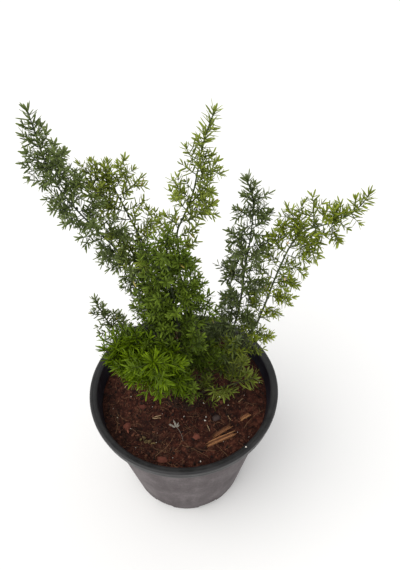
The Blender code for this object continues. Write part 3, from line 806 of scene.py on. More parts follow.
# How each frond grows. Shares are of the stem's length. Its side branchlets start at leafy, and
# its leading shoot's whorls at crown. Fill is the spacing of the branchlets that fill its gaps,
# and reach is their length at the stem's foot and at its tip. The chosen branchlets are
# (share, reach in mm). What a frond leaves out is in HABITS
FRONDS = {
    "tall_left": {
        "slot": "dark_foliage", "stem": DARK_STEM, "shade": 0.50, "needle": 9.0 * MM,
        "leafy": 0.34, "crown": 0.86, "fill": 2.9 * MM, "reach": (32.0 * MM, 17.0 * MM),
        "branchlets": [
            (0.88, (-13, -8, 17)), (0.80, (-17, -6, -3)), (0.65, (-12, -8, 2)),
            (0.86, (21, -14, 28)), (0.89, (14, -6, 20)), (0.70, (-16, 8, -8)),
            (0.56, (-20, -4, -6)), (0.52, (-16, 6, -14)), (0.44, (-20, -4, -10)),
            (0.84, (-24, 4, -2)), (0.72, (-24, 6, -10)), (0.60, (-18, 8, -17)),
            (0.49, (-20, -6, -5)), (0.76, (-22, 6, -6)), (0.92, (-15, 4, 10)),
            (0.80, (22, -10, 24)), (0.74, (26, -12, 20)), (0.66, (26, -10, 16)),
        ],
    },
    "centre_left": {
        "slot": "mid_foliage", "stem": DARK_STEM, "shade": 0.60, "needle": 8.6 * MM,
        "leafy": 0.32, "crown": 0.93, "fill": 3.3 * MM, "reach": (34.0 * MM, 18.0 * MM),
        "fresh": 0.45, "front": 0.45,
        "branchlets": [
            (0.92, (-25, -8, 33)), (0.88, (-24, 2, 14)), (0.85, (19, 4, 11)),
            (0.87, (-19, -12, 3)), (0.72, (-24, -8, 8)), (0.70, (24, 6, 8)),
            (0.62, (22, -8, 16)), (0.58, (-20, 6, 10)), (0.52, (20, -10, 14)),
            (0.90, (-30, -4, 22)), (0.82, (-28, -10, 12)), (0.77, (-28, -12, 4)),
            (0.74, (-26, -12, 14)), (0.66, (-26, -12, 12)), (0.94, (-14, -6, 28)),
        ],
    },
    "upright": {
        "slot": "bright_foliage", "stem": BRIGHT_STEM, "shade": 0.54, "needle": 8.6 * MM,
        "leafy": 0.36, "crown": 0.88, "fill": 6.0 * MM, "reach": (24.0 * MM, 10.0 * MM),
        "front": 0.5,
        "branchlets": [
            (0.85, (13, -6, 21)), (0.84, (-14, 8, 8)), (0.76, (18, -10, 31)),
            (0.74, (-14, 6, 18)), (0.72, (24, 6, 22)), (0.69, (-13, -6, 18)),
            (0.65, (21, 8, 11)), (0.55, (18, -10, 16)), (0.52, (-18, -6, 14)),
        ],
    },
    "dark_right": {
        "slot": "dark_foliage", "stem": DARK_STEM, "shade": 0.50, "needle": 8.8 * MM,
        "leafy": 0.12, "crown": 0.88, "fill": 3.2 * MM, "reach": (38.0 * MM, 18.0 * MM),
        "branchlets": [
            (0.90, (-18, -8, -5)), (0.88, (12, -8, 4)), (0.84, (-20, 4, -13)),
            (0.80, (18, 4, -1)), (0.71, (-20, -8, 3)), (0.66, (20, -6, 6)),
            (0.58, (20, -8, 4)), (0.46, (-22, -10, 2)), (0.42, (22, -8, 6)),
        ],
    },
    "arching_right": {
        "slot": "bright_foliage", "stem": BRIGHT_STEM, "shade": 0.50, "needle": 9.0 * MM,
        "leafy": 0.12, "crown": 0.92, "fill": 4.7 * MM, "reach": (28.0 * MM, 20.0 * MM),
        "front": 0.6,
        "branchlets": [
            (0.79, (-21, -4, 31)), (0.89, (8, -14, 0)), (0.82, (11, 10, -32)),
            (0.84, (4, 2, 24)), (0.90, (-4, 4, 18)), (0.76, (10, -8, -18)),
            (0.58, (-16, -6, 8)), (0.48, (18, -6, -10)),
            (0.86, (12, -6, 20)), (0.70, (-16, -6, 26)), (0.93, (10, -8, -8)),
            (0.78, (16, -10, -26)), (0.66, (-18, 6, 16)), (0.68, (22, -8, -16)),
            (0.74, (6, -8, 30)), (0.88, (-8, -10, 22)), (0.86, (14, -6, -14)),
        ],
    },
    "low_left": {
        "slot": "dark_foliage", "stem": DARK_STEM, "shade": 0.50, "needle": 8.0 * MM,
        "leafy": 0.34, "crown": 0.72, "fill": 3.0 * MM, "reach": (22.0 * MM, 12.0 * MM),
        "branchlets": [
            (0.76, (4, 6, 20)), (0.80, (-13, -8, 3)), (0.66, (8, -6, 40)),
            (0.50, (6, 8, 26)), (0.52, (-10, -6, 12)),
        ],
    },
    "middle": {
        "slot": "dark_foliage", "stem": DARK_STEM, "shade": 0.46, "needle": 9.0 * MM,
        "leafy": 0.10, "crown": 0.93, "fill": 3.4 * MM, "reach": (50.0 * MM, 24.0 * MM),
        "scatter": 0.75,
        "branchlets": [
            (0.88, (-11, -8, 17)), (0.82, (17, -10, 27)), (0.71, (31, -10, 20)),
            (0.59, (34, -4, 27)), (0.59, (-20, -14, 21)), (0.44, (-35, -4, 45)),
            (0.50, (-38, 4, 40)), (0.48, (38, 2, 26)), (0.34, (-28, -6, 24)),
            (0.30, (44, -4, 10)), (0.22, (52, 8, 6)), (0.26, (40, 20, 14)),
        ],
    },
    "front_young": {
        "slot": "young_foliage", "stem": BRIGHT_STEM, "shade": 0.41, "needle": 13.0 * MM,
        "leafy": 0.30, "crown": 0.84, "fill": 4.0 * MM, "reach": (30.0 * MM, 28.0 * MM),
        "width": 0.98, "fork_step": 10.0 * MM, "scatter": 0.9, "tuft": 40.0,
        "branchlets": [
            (0.55, (-59, 6, 32)), (0.60, (-17, 18, 36)), (0.65, (15, 10, 19)),
            (0.60, (29, -6, -4)), (0.70, (-43, -8, 13)), (0.50, (25, -10, -28)),
            (0.58, (-44, 6, 20)), (0.66, (-34, 8, 18)), (0.74, (14, -12, -26)),
            (0.78, (-14, -14, -34)), (0.62, (4, 4, 40)),
            (0.60, (-50, 0, 24)), (0.66, (-40, -6, 6)), (0.70, (-30, -8, 30)),
            (0.62, (-54, 10, 14)), (0.56, (-36, 4, 40)), (0.68, (-48, -2, 4)),
            (0.72, (-24, -16, 2)), (0.58, (16, 2, 34)), (0.64, (22, -4, 12)),
            (0.58, (-56, 8, 42)), (0.60, (-46, 10, 48)), (0.62, (-36, 14, 50)),
            (0.66, (-24, 10, 48)), (0.56, (-58, 4, 34)), (0.52, (-48, 12, 40)),
        ],
    },
    "low_front": {
        "slot": "olive_foliage", "stem": DARK_STEM, "shade": 0.52, "needle": 12.5 * MM,
        "leafy": 0.16, "crown": 0.80, "fill": 20.0 * MM, "reach": (28.0 * MM, 18.0 * MM),
        "width": 0.95, "fork_step": 40.0 * MM, "scatter": 0.9, "tuft": 62.0,
        "whorl": 7, "spacing": 7.0 * MM,
        "branchlets": [
            (0.35, (-6, 2, 18)), (0.50, (-6, -12, 8)), (0.70, (4, 12, 30)),
            (0.80, (12, 4, 18)), (0.60, (4, -14, 8)), (0.30, (8, 18, 30)),
        ],
    },
}
# Width scales the needles, dry is the chance of a dead one, scatter is in radians, tuft is how
# wide the tips open in degrees, fresh is how much brighter the top is, end is the last filling
# branchlet's share, and front shortens those that grow forwards or backwards
HABITS = {
    "width": 1.0, "dry": 0.003, "fork_step": 8.0 * MM, "scatter": 0.55, "tuft": 42.0,
    "whorl": 4, "spacing": 3.0 * MM, "fresh": 0.15, "end": 0.975, "front": 0.70,
}


def stem_radius(share):
    return (STEM_FOOT + (STEM_TIP - STEM_FOOT) * share) * MM


def finish_growth(growth, name, frond, replaced=()):
    materials = [frond["leaf"], frond["stem"]]
    finish_piece(name, growth.bundle.bm, materials, replaced)


def grow_stem(name, frond, line, seed):
    """The stem itself, with a dry bract under each joint, and whorls on its leading shoot."""
    growth = Growth(frond, seed)
    points = line.resampled(2.5 * MM)
    count = len(points) - 1
    radii = [
        stem_radius(index / count) * (1.0 + 0.05 * noise.noise(point * 300.0))
        for index, point in enumerate(points)
    ]
    growth.bundle.add_once(tube_blank(points, radii, STEM_SIDES, 1), 0.5)
    start = frond["crown"] * line.length
    leader = Growth({**frond, "whorl": frond["whorl"] + 2}, seed)
    leader.bundle = growth.bundle
    leader.clothe(line, start, frond["shade"] + 0.5 * frond["fresh"], frond["needle"] * 1.3)
    distance = FIRST_JOINT
    bearing = growth.chance.uniform(0.0, math.tau)
    while distance < start:
        point, heading = line.at(distance)
        radius = stem_radius(distance / line.length)
        direction = around(heading, bearing, math.radians(28.0))
        foot = point + around(heading, bearing, math.pi / 2.0) * radius * 0.7
        places = BRACT.points * np.array([2.0 * MM, 2.0 * MM, 2.8 * MM])
        turn = direction.to_track_quat("Z", "Y").to_matrix()
        growth.bundle.add(BRACT, places @ np.array(turn).T + np.array(foot), 0.9)
        bearing += GOLDEN_ANGLE
        distance += JOINT_SPACING
    finish_growth(growth, name + "_detail", frond, [name])


def bract_blank():
    """A dry scale in the stem's own material."""
    blank = needle_blank(0.4)
    for polygon in blank.mesh.polygons:
        polygon.material_index = 1
    return blank


def side_of(reach, heading):
    """The side of the stem that a branchlet leaves from: 1 is the right, and -1 the left."""
    level = ACROSS - ACROSS.dot(heading) * heading
    return 1 if reach.dot(level) > 0.0 else -1


def distance_of(line, place):
    """How far along a line its nearest point to a place lies."""
    gaps = [(point - place).length for point in line.points]
    return float(line.reached[gaps.index(min(gaps))])


def shade_at(frond, share):
    """Foliage is fresher and brighter towards the top of its frond."""
    return frond["shade"] + frond["fresh"] * (share - 0.5)


def grow_branchlets(name, frond, line, sprays, seed):
    """The branchlets between the CAD sprays: the chosen ones, then others that fill the gaps."""
    growth = Growth(frond, seed)
    chance = growth.chance
    taken = []
    for spray in sprays:
        distance = distance_of(line, spray.points[0])
        reach = spray.points[-1] - spray.points[0]
        taken.append((distance, side_of(reach, line.at(distance)[1])))
    for share, reach in frond["branchlets"]:
        distance = share * line.length
        point, heading = line.at(distance)
        reach = Vector(reach) * MM
        shade = shade_at(frond, share) + chance.uniform(-0.08, 0.08)
        growth.branchlet(sprig_line(point, heading, reach), shade)
        taken.append((distance, side_of(reach, heading)))
    distance = frond["leafy"] * line.length
    end = max(frond["crown"] + 0.04, frond["end"]) * line.length
    lowest, highest = frond["reach"]
    order = 0
    while distance < end:
        share = distance / line.length
        point, heading = line.at(distance)
        row = ROWS[order % len(ROWS)]
        sideways = abs(row) != 90.0
        part = 1.0 if sideways else frond["front"]
        taper = min(1.0, (1.04 - share) / 0.12)
        length = (lowest + (highest - lowest) * share) * part * taper * chance.uniform(0.8, 1.2)
        bearing = math.radians(row) + chance.gauss(0.0, frond["scatter"])
        lean = math.radians(chance.uniform(48.0, 72.0))
        reach = (around(heading, bearing, lean, ACROSS) + UP * 0.12).normalized() * length
        side = side_of(reach, heading) if sideways else 0
        free = all(abs(distance - other) > SIDE_SPACING or side != its for other, its in taken)
        if free and lies_clear(point + reach):
            shade = shade_at(frond, share) + chance.uniform(-0.22, 0.16)
            growth.branchlet(sprig_line(point, heading, reach), shade)
        order += 1
        distance += frond["fill"] * chance.uniform(0.8, 1.2)
    finish_growth(growth, name + "_branchlets", frond)


def lies_clear(point):
    """Whether a tip stays above the soil and out of the pot's wall."""
    radius = point.xy.length
    return point.z > SOIL_LINE + 12.0 * MM and (radius < 70.0 * MM or point.z > POT_HEIGHT + 0.012)


def grow_spray(name, frond, line, share, seed):
    """A CAD spray grown again with its whorls and side twigs."""
    growth = Growth(frond, seed)
    growth.branchlet(line, shade_at(frond, share) + growth.chance.uniform(-0.06, 0.06))
    finish_growth(growth, name + "_detail", frond, [name])


BRACT = bract_blank()


def grow_buds(line):
    """Three tan buds, each nodding on a fine stalk."""
    growth = Growth(HABITS, 91)
    for share, reach in BUDS:
        point, heading = line.at(share * line.length)
        stalk = sprig_line(point, heading, Vector(reach) * MM, 0.2)
        growth.twig(stalk, STALK_RADII)
        bm = bmesh.new()
        bmesh.ops.create_uvsphere(bm, u_segments=10, v_segments=7, radius=0.5)
        for vertex in bm.verts:
            vertex.co.xy *= 1.0 - 0.5 * vertex.co.z
        size = Matrix.Diagonal((1.9 * MM, 1.9 * MM, 2.8 * MM, 1.0))
        place = Matrix.Translation(stalk.points[-1])
        growth.bundle.add_once(Blank("bud", bm), 0.5, place @ size)
    finish_piece("tan_buds", growth.bundle.bm, [BUD, BRIGHT_STEM])


# Buds on the arching frond: share of the stem's length and reach in mm
BUDS = [(0.74, (-6, -8, 6)), (0.60, (7, -7, 5)), (0.56, (-7, -6, 6))]


def grow_plant():
    """Every frond: its stem, the branchlets that fill it, and its CAD sprays."""
    for order, (name, habits) in enumerate(FRONDS.items()):
        frond = {**HABITS, **habits, "leaf": LEAVES[name]}
        line = centre_line(name + "_stem").trimmed(0.6 * frond["needle"])
        nodes = sorted(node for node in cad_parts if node.startswith(name + "_spray_"))
        sprays = [centre_line(node, line) for node in nodes]
        grow_stem(name + "_stem", frond, line, 100 + order)
        grow_branchlets(name, frond, line, sprays, 200 + order)
        if name == "arching_right":
            grow_buds(line)
        for index, (node, spray) in enumerate(zip(nodes, sprays)):
            share = distance_of(line, spray.points[0]) / line.length
            grow_spray(node, frond, spray, share, 1000 + 20 * order + index)


# Pot


def shoulder_radius():
    return RIM_RADIUS - RIM_OVERHANG


def wall_outside(height):
    share = height / (POT_HEIGHT - RIM_BAND)
    return BASE_RADIUS + (shoulder_radius() - BASE_RADIUS) * share


def wall_inside(height):
    return wall_outside(height) - WALL


def pot_profile():
    """The pot's section, from the middle of the base out, up the wall and back down inside."""
    band_foot = POT_HEIGHT - RIM_BAND
    band_middle = POT_HEIGHT - RIM_BAND * 0.5
    skirt_inside = RIM_RADIUS - RIM_STEP - WALL
    outside_levels = [0.02, 0.045, 0.07, 0.095, 0.12, 0.14]
    inside_levels = [0.145, 0.12, 0.08, 0.04]
    return [
        (0.0, 0.0),
        (BASE_RADIUS * 0.5, 0.0),
        (BASE_RADIUS - BASE_FILLET, 0.0),
        (BASE_RADIUS - BASE_FILLET * 0.3, BASE_FILLET * 0.3),
        (wall_outside(BASE_FILLET), BASE_FILLET),
        *[(wall_outside(level), level) for level in outside_levels],
        (wall_outside(band_foot), band_foot),
        (wall_outside(POT_HEIGHT - WALL), POT_HEIGHT - WALL),
        (skirt_inside, POT_HEIGHT - WALL),
        (skirt_inside, band_foot),
        (skirt_inside + WALL, band_foot),
        (skirt_inside + WALL, band_middle - RIM_GROOVE),
        (skirt_inside + WALL - RIM_GROOVE, band_middle - RIM_GROOVE * 0.6),
        (skirt_inside + WALL - RIM_GROOVE, band_middle),
        (RIM_RADIUS, band_middle + RIM_STEP * 0.6),
        (RIM_RADIUS, POT_HEIGHT - RIM_STEP),
        (RIM_RADIUS - RIM_STEP, POT_HEIGHT),
        (RIM_RADIUS - 3.0 * MM, POT_HEIGHT),
        (RIM_RADIUS - 3.4 * MM, POT_HEIGHT - 0.5 * MM),
        (wall_inside(POT_HEIGHT) + 2.2 * MM, POT_HEIGHT - 0.5 * MM),
        (wall_inside(POT_HEIGHT) + 0.8 * MM, POT_HEIGHT - 1.4 * MM),
        (wall_inside(POT_HEIGHT - 3.0 * MM), POT_HEIGHT - 3.0 * MM),
        *[(wall_inside(level), level) for level in inside_levels],
        (wall_inside(BASE_THICKNESS), BASE_THICKNESS),
        (0.0, BASE_THICKNESS),
    ]


def notch_cutter():
    """Wedges round the corner of the base, one for each drain notch."""
    bm = bmesh.new()
    for notch in range(NOTCHES):
        wedge = bmesh.ops.create_cube(bm, size=1.0)["verts"]
        bearing = NOTCH_TURN + NOTCH_ANGLE / 2.0 + notch * math.tau / NOTCHES
        middle = BASE_RADIUS + CUTTER_SPARE - NOTCH_DEPTH / 2.0
        width = 2.0 * BASE_RADIUS * math.sin(NOTCH_ANGLE / 2.0)
        size = Matrix.Diagonal((NOTCH_DEPTH + 2.0 * CUTTER_SPARE, width, NOTCH_HEIGHT * 2.0, 1.0))
        turn = Matrix.Rotation(bearing, 4, "Z")
        bmesh.ops.transform(bm, matrix=turn @ Matrix.Translation((middle, 0, 0)) @ size, verts=wedge)
    rounded(bm, list(bm.edges), NOTCH_ROUNDING, 2, False)
    outwards(bm)
    return bm


def cut_from(bm, cutter):
    """Cut one closed bmesh from another."""
    objects = []
    for name, shape in (("uncut", bm), ("cutter", cutter)):
        mesh = bpy.data.meshes.new(name)
        shape.to_mesh(mesh)
        shape.free()
        made = bpy.data.objects.new(name, mesh)
        bpy.context.scene.collection.objects.link(made)
        objects.append(made)
    cut = objects[0].modifiers.new("cut", "BOOLEAN")
    cut.operation = "DIFFERENCE"
    cut.solver = "EXACT"
    cut.object = objects[1]
    graph = bpy.context.evaluated_depsgraph_get()
    result = bmesh.new()
    result.from_mesh(objects[0].evaluated_get(graph).data)
    for made in objects:
        bpy.data.objects.remove(made, do_unlink=True)
    return result


def make_pot():
    """The moulded pot, with one material for its wall, one for its rim and one for its inside."""
    bm = turned(pot_profile(), POT_SEGMENTS)
    sharp = [edge for edge in bm.edges if edge.calc_face_angle(0.0) > SHARP_EDGE]
    rounded(bm, sharp, EDGE_ROUNDING, 2, True)
    bm = cut_from(bm, notch_cutter())
    bmesh.ops.remove_doubles(bm, verts=bm.verts, dist=MERGE_DISTANCE)
    for face in bm.faces:
        middle = face.calc_center_median()
        radius = middle.xy.length
        if middle.z > POT_HEIGHT - RIM_BAND - 0.2 * MM and radius > wall_inside(middle.z) + 0.5 * MM:
            face.material_index = 1
        # Inside faces take the material painted dark as shade
        elif middle.z > 0.5 * MM and radius < wall_inside(middle.z) + 0.6 * MM:
            face.material_index = 2
    finish_piece("pot_moulded", bm, [POT_WALL, POT_RIM, SHADED_POT_INSIDE], ["pot"], 40.0)


# Soil and what lies on it


def soil_height(radius, bearing):
    """The soil's level: even at the rootstock, with low swells, and lower at the wall."""
    edge = wall_inside(SOIL_LINE) - SOIL_GAP
    share = max(0.0, (radius - ROOTSTOCK_RADIUS) / (edge - ROOTSTOCK_RADIUS))
    swell = math.sin(3 * bearing + 1.0) + math.sin(2 * bearing + 5 * share)
    return SOIL_LINE + SOIL_SWELL * share * (swell - 1.0)


def crumbled(radius, bearing):
    """The soil's level with its clods and crumbs."""
    place = Vector((radius * math.cos(bearing), radius * math.sin(bearing), 0.0))
    clods = noise.fractal(place * 90.0, 0.9, 2.1, 3)
    crumbs = noise.fractal(place * 420.0 + Vector((7.0, 3.0, 0.0)), 0.8, 2.0, 3)
    return soil_height(radius, bearing) + clods * CLOD_RISE * MM + crumbs * CRUMB_RISE * MM


def on_soil(x, y, lift=0.0):
    """The place on the soil at x and y in millimetres."""
    spot = Vector((x * MM, y * MM))
    level = crumbled(spot.length, math.atan2(spot.y, spot.x))
    return Vector((spot.x, spot.y, level + lift * MM))


def make_soil():
    floor = BASE_THICKNESS + SOIL_GAP
    edge = wall_inside(SOIL_LINE) - SOIL_GAP
    top = [(edge * ring / SOIL_RINGS, SOIL_LINE) for ring in range(SOIL_RINGS + 1)]
    side = [(wall_inside(floor) - SOIL_GAP, floor), (0.0, floor)]
    bm = turned([*top, *side], SOIL_SEGMENTS)
    for vertex in bm.verts:
        radius = vertex.co.xy.length
        if abs(vertex.co.z - SOIL_LINE) < 0.01 * MM:
            bearing = math.atan2(vertex.co.y, vertex.co.x)
            vertex.co.z = crumbled(radius, bearing)
            within = wall_inside(vertex.co.z) - SOIL_GAP
            if radius > within:
                vertex.co.xy = vertex.co.xy * within / radius
    finish_piece("soil_surface", bm, [SOIL], ["soil"], 80.0)


def crumb_blank(seed):
    """An angular crumb about one unit across."""
    chance = random.Random(seed)
    bm = bmesh.new()
    bmesh.ops.create_icosphere(bm, subdivisions=1, radius=0.5)
    for vertex in bm.verts:
        vertex.co *= chance.uniform(0.65, 1.15)
    return Blank("crumb", bm)


def scatter_point(chance, low=20.0, high=87.0):
    """A random place on the soil, evenly spread over its area, in millimetres."""
    radius = math.sqrt(chance.uniform(low**2, high**2))
    bearing = chance.uniform(0.0, math.tau)
    return radius * math.cos(bearing), radius * math.sin(bearing)


def turn_at(place, chance, size):
    """A matrix that puts a shape at a place, turned any way, with a size for each axis."""
    turn = Quaternion(
        (chance.gauss(0, 1), chance.gauss(0, 1), chance.gauss(0, 1), chance.gauss(0, 1))
    ).normalized()
    return Matrix.Translation(place) @ turn.to_matrix().to_4x4() @ Matrix.Diagonal((*size, 1.0))


def uneven(chance, size, least):
    """A size for each axis, from a size in millimetres."""
    return [size * chance.uniform(least, 1.2) * MM for _ in range(3)]


def make_crumbs():
    """Loose coir and bark crumbs over the whole surface."""
    chance = random.Random(31)
    blanks = [crumb_blank(seed) for seed in range(6)]
    bundle = Bundle()
    for _ in range(CRUMB_COUNT):
        x, y = scatter_point(chance)
        size = chance.uniform(0.9, 1.9) if chance.random() < 0.84 else chance.uniform(2.0, 4.4)
        shape = uneven(chance, size, 0.5)
        place = on_soil(x, y, 0.12 * size)
        tint = chance.random() ** 2.2
        bundle.add_turned(chance.choice(blanks), turn_at(place, chance, shape), tint)
    for _ in range(MOUND_CRUMB_COUNT):
        x, y = scatter_point(chance, 0.0, 23.0)
        share = math.hypot(x, y) * MM / ROOTSTOCK_RADIUS
        size = chance.uniform(0.9, 2.4)
        shape = uneven(chance, size, 0.5)
        level = ROOTSTOCK_TOP - MOUND_DROP * share**4 - 0.2 * MM
        place = Vector((x * MM, y * MM, level))
        blank = chance.choice(blanks)
        matrix = turn_at(place, chance, shape)
        bundle.add_turned(blank, matrix, chance.random() ** 2.2)
    finish_piece("soil_crumbs", bundle.bm, [CRUMBS], [], 30.0)


def fibre_line(chance, x, y, length):
    """A fine fibre that curls over the soil and lifts at its ends."""
    bearing = chance.uniform(0.0, math.tau)
    curl = chance.uniform(-2.2, 2.2)
    points = []
    for step in range(9):
        share = step / 8
        lift = 0.4 + 1.6 * chance.random() * abs(share - 0.5)
        points.append(on_soil(x, y, lift))
        x += length / 8 * math.cos(bearing)
        y += length / 8 * math.sin(bearing)
        bearing += curl / 8 + chance.gauss(0.0, 0.16)
        if math.hypot(x, y) > 87.5:
            break
    return points


def add_tube(bundle, points, foot, tip, sides, tint):
    """A tube along the points, with its radii at both ends in millimetres."""
    radii = [radius * MM for radius in tapered(foot, tip, len(points) - 1)]
    bundle.add_once(tube_blank(points, radii, sides, 0), tint)


def make_fibres():
    """Fine curled fibres all over the soil, and a few long ones."""
    chance = random.Random(47)
    bundle = Bundle()
    for _ in range(FIBRE_COUNT):
        x, y = scatter_point(chance, 22.0, 84.0)
        points = fibre_line(chance, x, y, chance.uniform(5.0, 20.0))
        if len(points) > 2:
            width = chance.uniform(0.10, 0.24)
            add_tube(bundle, points, width, width * 0.5, 3, chance.random() ** 1.6)
    for x, y, bearing, length, curl in LONG_FIBRES:
        points = []
        for _ in range(15):
            points.append(on_soil(x, y, 0.9))
            x += length / 14 * math.cos(bearing)
            y += length / 14 * math.sin(bearing)
            bearing += curl / 14
        add_tube(bundle, smoothed(points, 2), 0.26, 0.14, 4, 0.6)
    finish_piece("coir_fibres", bundle.bm, [FIBRES], [], 30.0)


# Long fibres: start in mm, bearing, length in mm and curl in radians
LONG_FIBRES = [
    (62.0, -44.0, math.radians(60.0), 36.0, -0.7),
    (-2.0, -62.0, math.radians(-18.0), 30.0, -0.3),
    (-70.0, -48.0, math.radians(80.0), 26.0, 0.5),
    (-30.0, -76.0, math.radians(35.0), 34.0, 0.6),
    (46.0, -78.0, math.radians(120.0), 22.0, 0.4),
]


def lump(bundle, seed, place, size, height, tint):
    """A rounded, knobbly lump of bark or stone, laid flat. Its sizes are in millimetres."""
    chance = random.Random(seed)
    bm = bmesh.new()
    bmesh.ops.create_icosphere(bm, subdivisions=3, radius=0.5)
    offset = Vector((seed * 1.7, 0.3, 0.9))
    for vertex in bm.verts:
        vertex.co *= 1.0 + 0.34 * noise.fractal(vertex.co * 2.6 + offset, 0.9, 2.0, 3)
    turn = Matrix.Rotation(chance.uniform(0, math.tau), 4, "Z")
    tilt = Matrix.Rotation(chance.uniform(-0.25, 0.25), 4, "X")
    grow = Matrix.Diagonal((size[0] * MM, size[1] * MM, height * MM, 1.0))
    bundle.add_once(Blank("lump", bm), tint, Matrix.Translation(place) @ tilt @ turn @ grow)


# Red bark: seed, place (x, y and lift), length and width, height, and shade. All in mm
RED_BARK_BITS = [
    (3, (13.0, -53.0, 0.8), (7.2, 7.4), 3.0, 0.55),
    (5, (-59.0, -40.0, 1.0), (9.5, 8.0), 5.0, 0.35),
    (7, (-57.5, -45.5, 1.2), (5.5, 1.8), 1.8, 1.0),
    (9, (-20.0, -78.0, 0.8), (10.5, 7.0), 4.0, 0.30),
    (11, (-44.0, -18.0, 0.8), (8.0, 6.0), 4.0, 0.20),
    (13, (70.0, 18.0, 0.8), (8.0, 5.5), 3.6, 0.25),
    (15, (-30.0, 66.0, 0.8), (9.0, 6.5), 4.0, 0.35),
    (17, (36.0, 64.0, 0.8), (7.5, 6.0), 3.6, 0.30),
]
# The largest grains of perlite, in mm, and the one that lies on the rim
PERLITE_SPOTS = [
    (0.0, -30.0), (23.0, -31.0), (22.0, -35.0), (11.0, -12.0), (21.0, -14.0),
    (47.0, -17.0), (38.0, -7.0), (-58.0, -5.0), (9.0, -15.0), (17.0, -80.0),
]
RIM_GRAIN_BEARING = math.radians(-50.6)
RIM_GRAIN_SIZE = (1.9 * MM, 1.7 * MM, 1.6 * MM)
# Straws: start in mm, bearing, length in mm and radius in mm
STRAWS = [
    (-33.0, -31.5, math.radians(-5.0), 9.0, 0.55),
    (-31.0, -30.0, math.radians(8.0), 7.0, 0.4),
    (24.0, -40.0, math.radians(-70.0), 8.0, 0.35),
    (46.0, -30.0, math.radians(-60.0), 6.0, 0.4),
    (58.0, -14.0, math.radians(40.0), 7.0, 0.35),
    (-66.0, 6.0, math.radians(60.0), 8.0, 0.4),
    (-8.0, 74.0, math.radians(10.0), 9.0, 0.45),
]


def make_bark_and_stone():
    """Bits of red bark, a mossy piece broken into small lumps, and a dark pebble."""
    bark = Bundle()
    for seed, spot, size, height, tint in RED_BARK_BITS:
        lump(bark, seed, on_soil(*spot), size, height, tint)
    finish_piece("red_bark_bits", bark.bm, [RED_BARK], [], 50.0)

    moss = Bundle()
    chance = random.Random(19)
    for order in range(MOSS_COUNT):
        x, y = -39.0 + order * 0.9 + chance.gauss(0.0, 1.6), -53.0 - order * 0.5
        size = (chance.uniform(2.4, 5.2), chance.uniform(1.4, 3.0))
        spot = on_soil(x - 3.0, y + chance.gauss(0.0, 1.6), 1.0)
        lump(moss, 21 + order, spot, size, chance.uniform(1.6, 2.8), 0.5)
    finish_piece("mossy_bark", moss.bm, [MOSS], [], 50.0)

    stone = Bundle()
    lump(stone, 31, on_soil(34.0, -32.0, 1.2), (8.6, 7.2), 5.2, 0.5)
    finish_piece("dark_pebble", stone.bm, [PEBBLE], [], 60.0)


def make_perlite():
    """White grains: the large ones where they lie, small ones anywhere, and one on the rim."""
    chance = random.Random(59)
    blanks = [crumb_blank(seed) for seed in range(40, 44)]
    grains = Bundle()
    scattered = [scatter_point(chance, 30.0, 86.0) for _ in range(PERLITE_COUNT)]
    for order, (x, y) in enumerate([*PERLITE_SPOTS, *scattered]):
        large = order < len(PERLITE_SPOTS)
        size = chance.uniform(1.5, 2.0) if large else chance.uniform(0.5, 1.1)
        shape = uneven(chance, size, 0.8)
        matrix = turn_at(on_soil(x, y, 0.5 + 0.2 * size), chance, shape)
        grains.add_turned(chance.choice(blanks), matrix, 0.5)
    radius = RIM_RADIUS - 4.4 * MM
    across, back = math.cos(RIM_GRAIN_BEARING), math.sin(RIM_GRAIN_BEARING)
    place = Vector((radius * across, radius * back, POT_HEIGHT + 0.3 * MM))
    grains.add_turned(blanks[0], turn_at(place, chance, RIM_GRAIN_SIZE), 0.5)
    finish_piece("perlite_grains", grains.bm, [PERLITE], [], 30.0)


def make_straws():
    straw = Bundle()
    for x, y, bearing, length, width in STRAWS:
        points = [
            on_soil(
                x + length * share * math.cos(bearing),
                y + length * share * math.sin(bearing),
                1.1,
            )
            for share in (0.0, 0.25, 0.5, 0.75, 1.0)
        ]
        add_tube(straw, smoothed(points, 3), width, width * 0.6, 5, 0.5)
    finish_piece("straw_bits", straw.bm, [STRAW], [], 40.0)


# The dry sprig: its stalk's points (x, y and lift), and its lobes (x, y, bearing in degrees,
# length and width). All in mm
SPRIG_STALK = [(-8, -42, 2.0), (-5, -46, 2.2), (-2, -52, 1.4), (-0.5, -57.0, 0.8)]
SPRIG_LOBES = [
    (-8, -42, 105, 5.8, 2.2), (-9, -42.5, 150, 6.2, 1.9), (-7.5, -41, 60, 3.6, 1.6),
    (-11, -40, 175, 4.6, 1.5), (-8.5, -39, 120, 4.8, 1.7), (-8, -42, 20, 4.0, 1.3),
]


def make_dry_sprig():
    """A curled grey leaf with six lobes, on a long thin stalk."""
    bundle = Bundle()
    stalk = [on_soil(*spot) for spot in SPRIG_STALK]
    add_tube(bundle, smoothed(stalk, 5), 0.20, 0.12, 5, 0.5)
    for x, y, bearing, length, width in SPRIG_LOBES:
        bm = bmesh.new()
        bmesh.ops.create_grid(bm, x_segments=6, y_segments=4, size=0.5)
        for vertex in bm.verts:
            along = vertex.co.x + 0.5
            taper = math.sin(math.pi * (0.12 + 0.84 * along)) ** 0.7
            vertex.co.y *= taper
            vertex.co.z = 0.35 * along**2 - 0.9 * vertex.co.y**2
            vertex.co.z += 0.06 * noise.noise(vertex.co * 7.0)
            vertex.co.x = along
        bmesh.ops.solidify(bm, geom=list(bm.faces), thickness=0.10)
        outwards(bm)
        size = Matrix.Diagonal((length * MM, width * MM, 4.0 * MM, 1.0))
        turn = Matrix.Rotation(math.radians(bearing), 4, "Z")
        matrix = Matrix.Translation(on_soil(x, y, 1.4)) @ turn @ size
        bundle.add_once(Blank("lobe", bm), 0.5, matrix)
    finish_piece("dry_leaf_sprig", bundle.bm, [DRY_LEAF], [], 60.0)


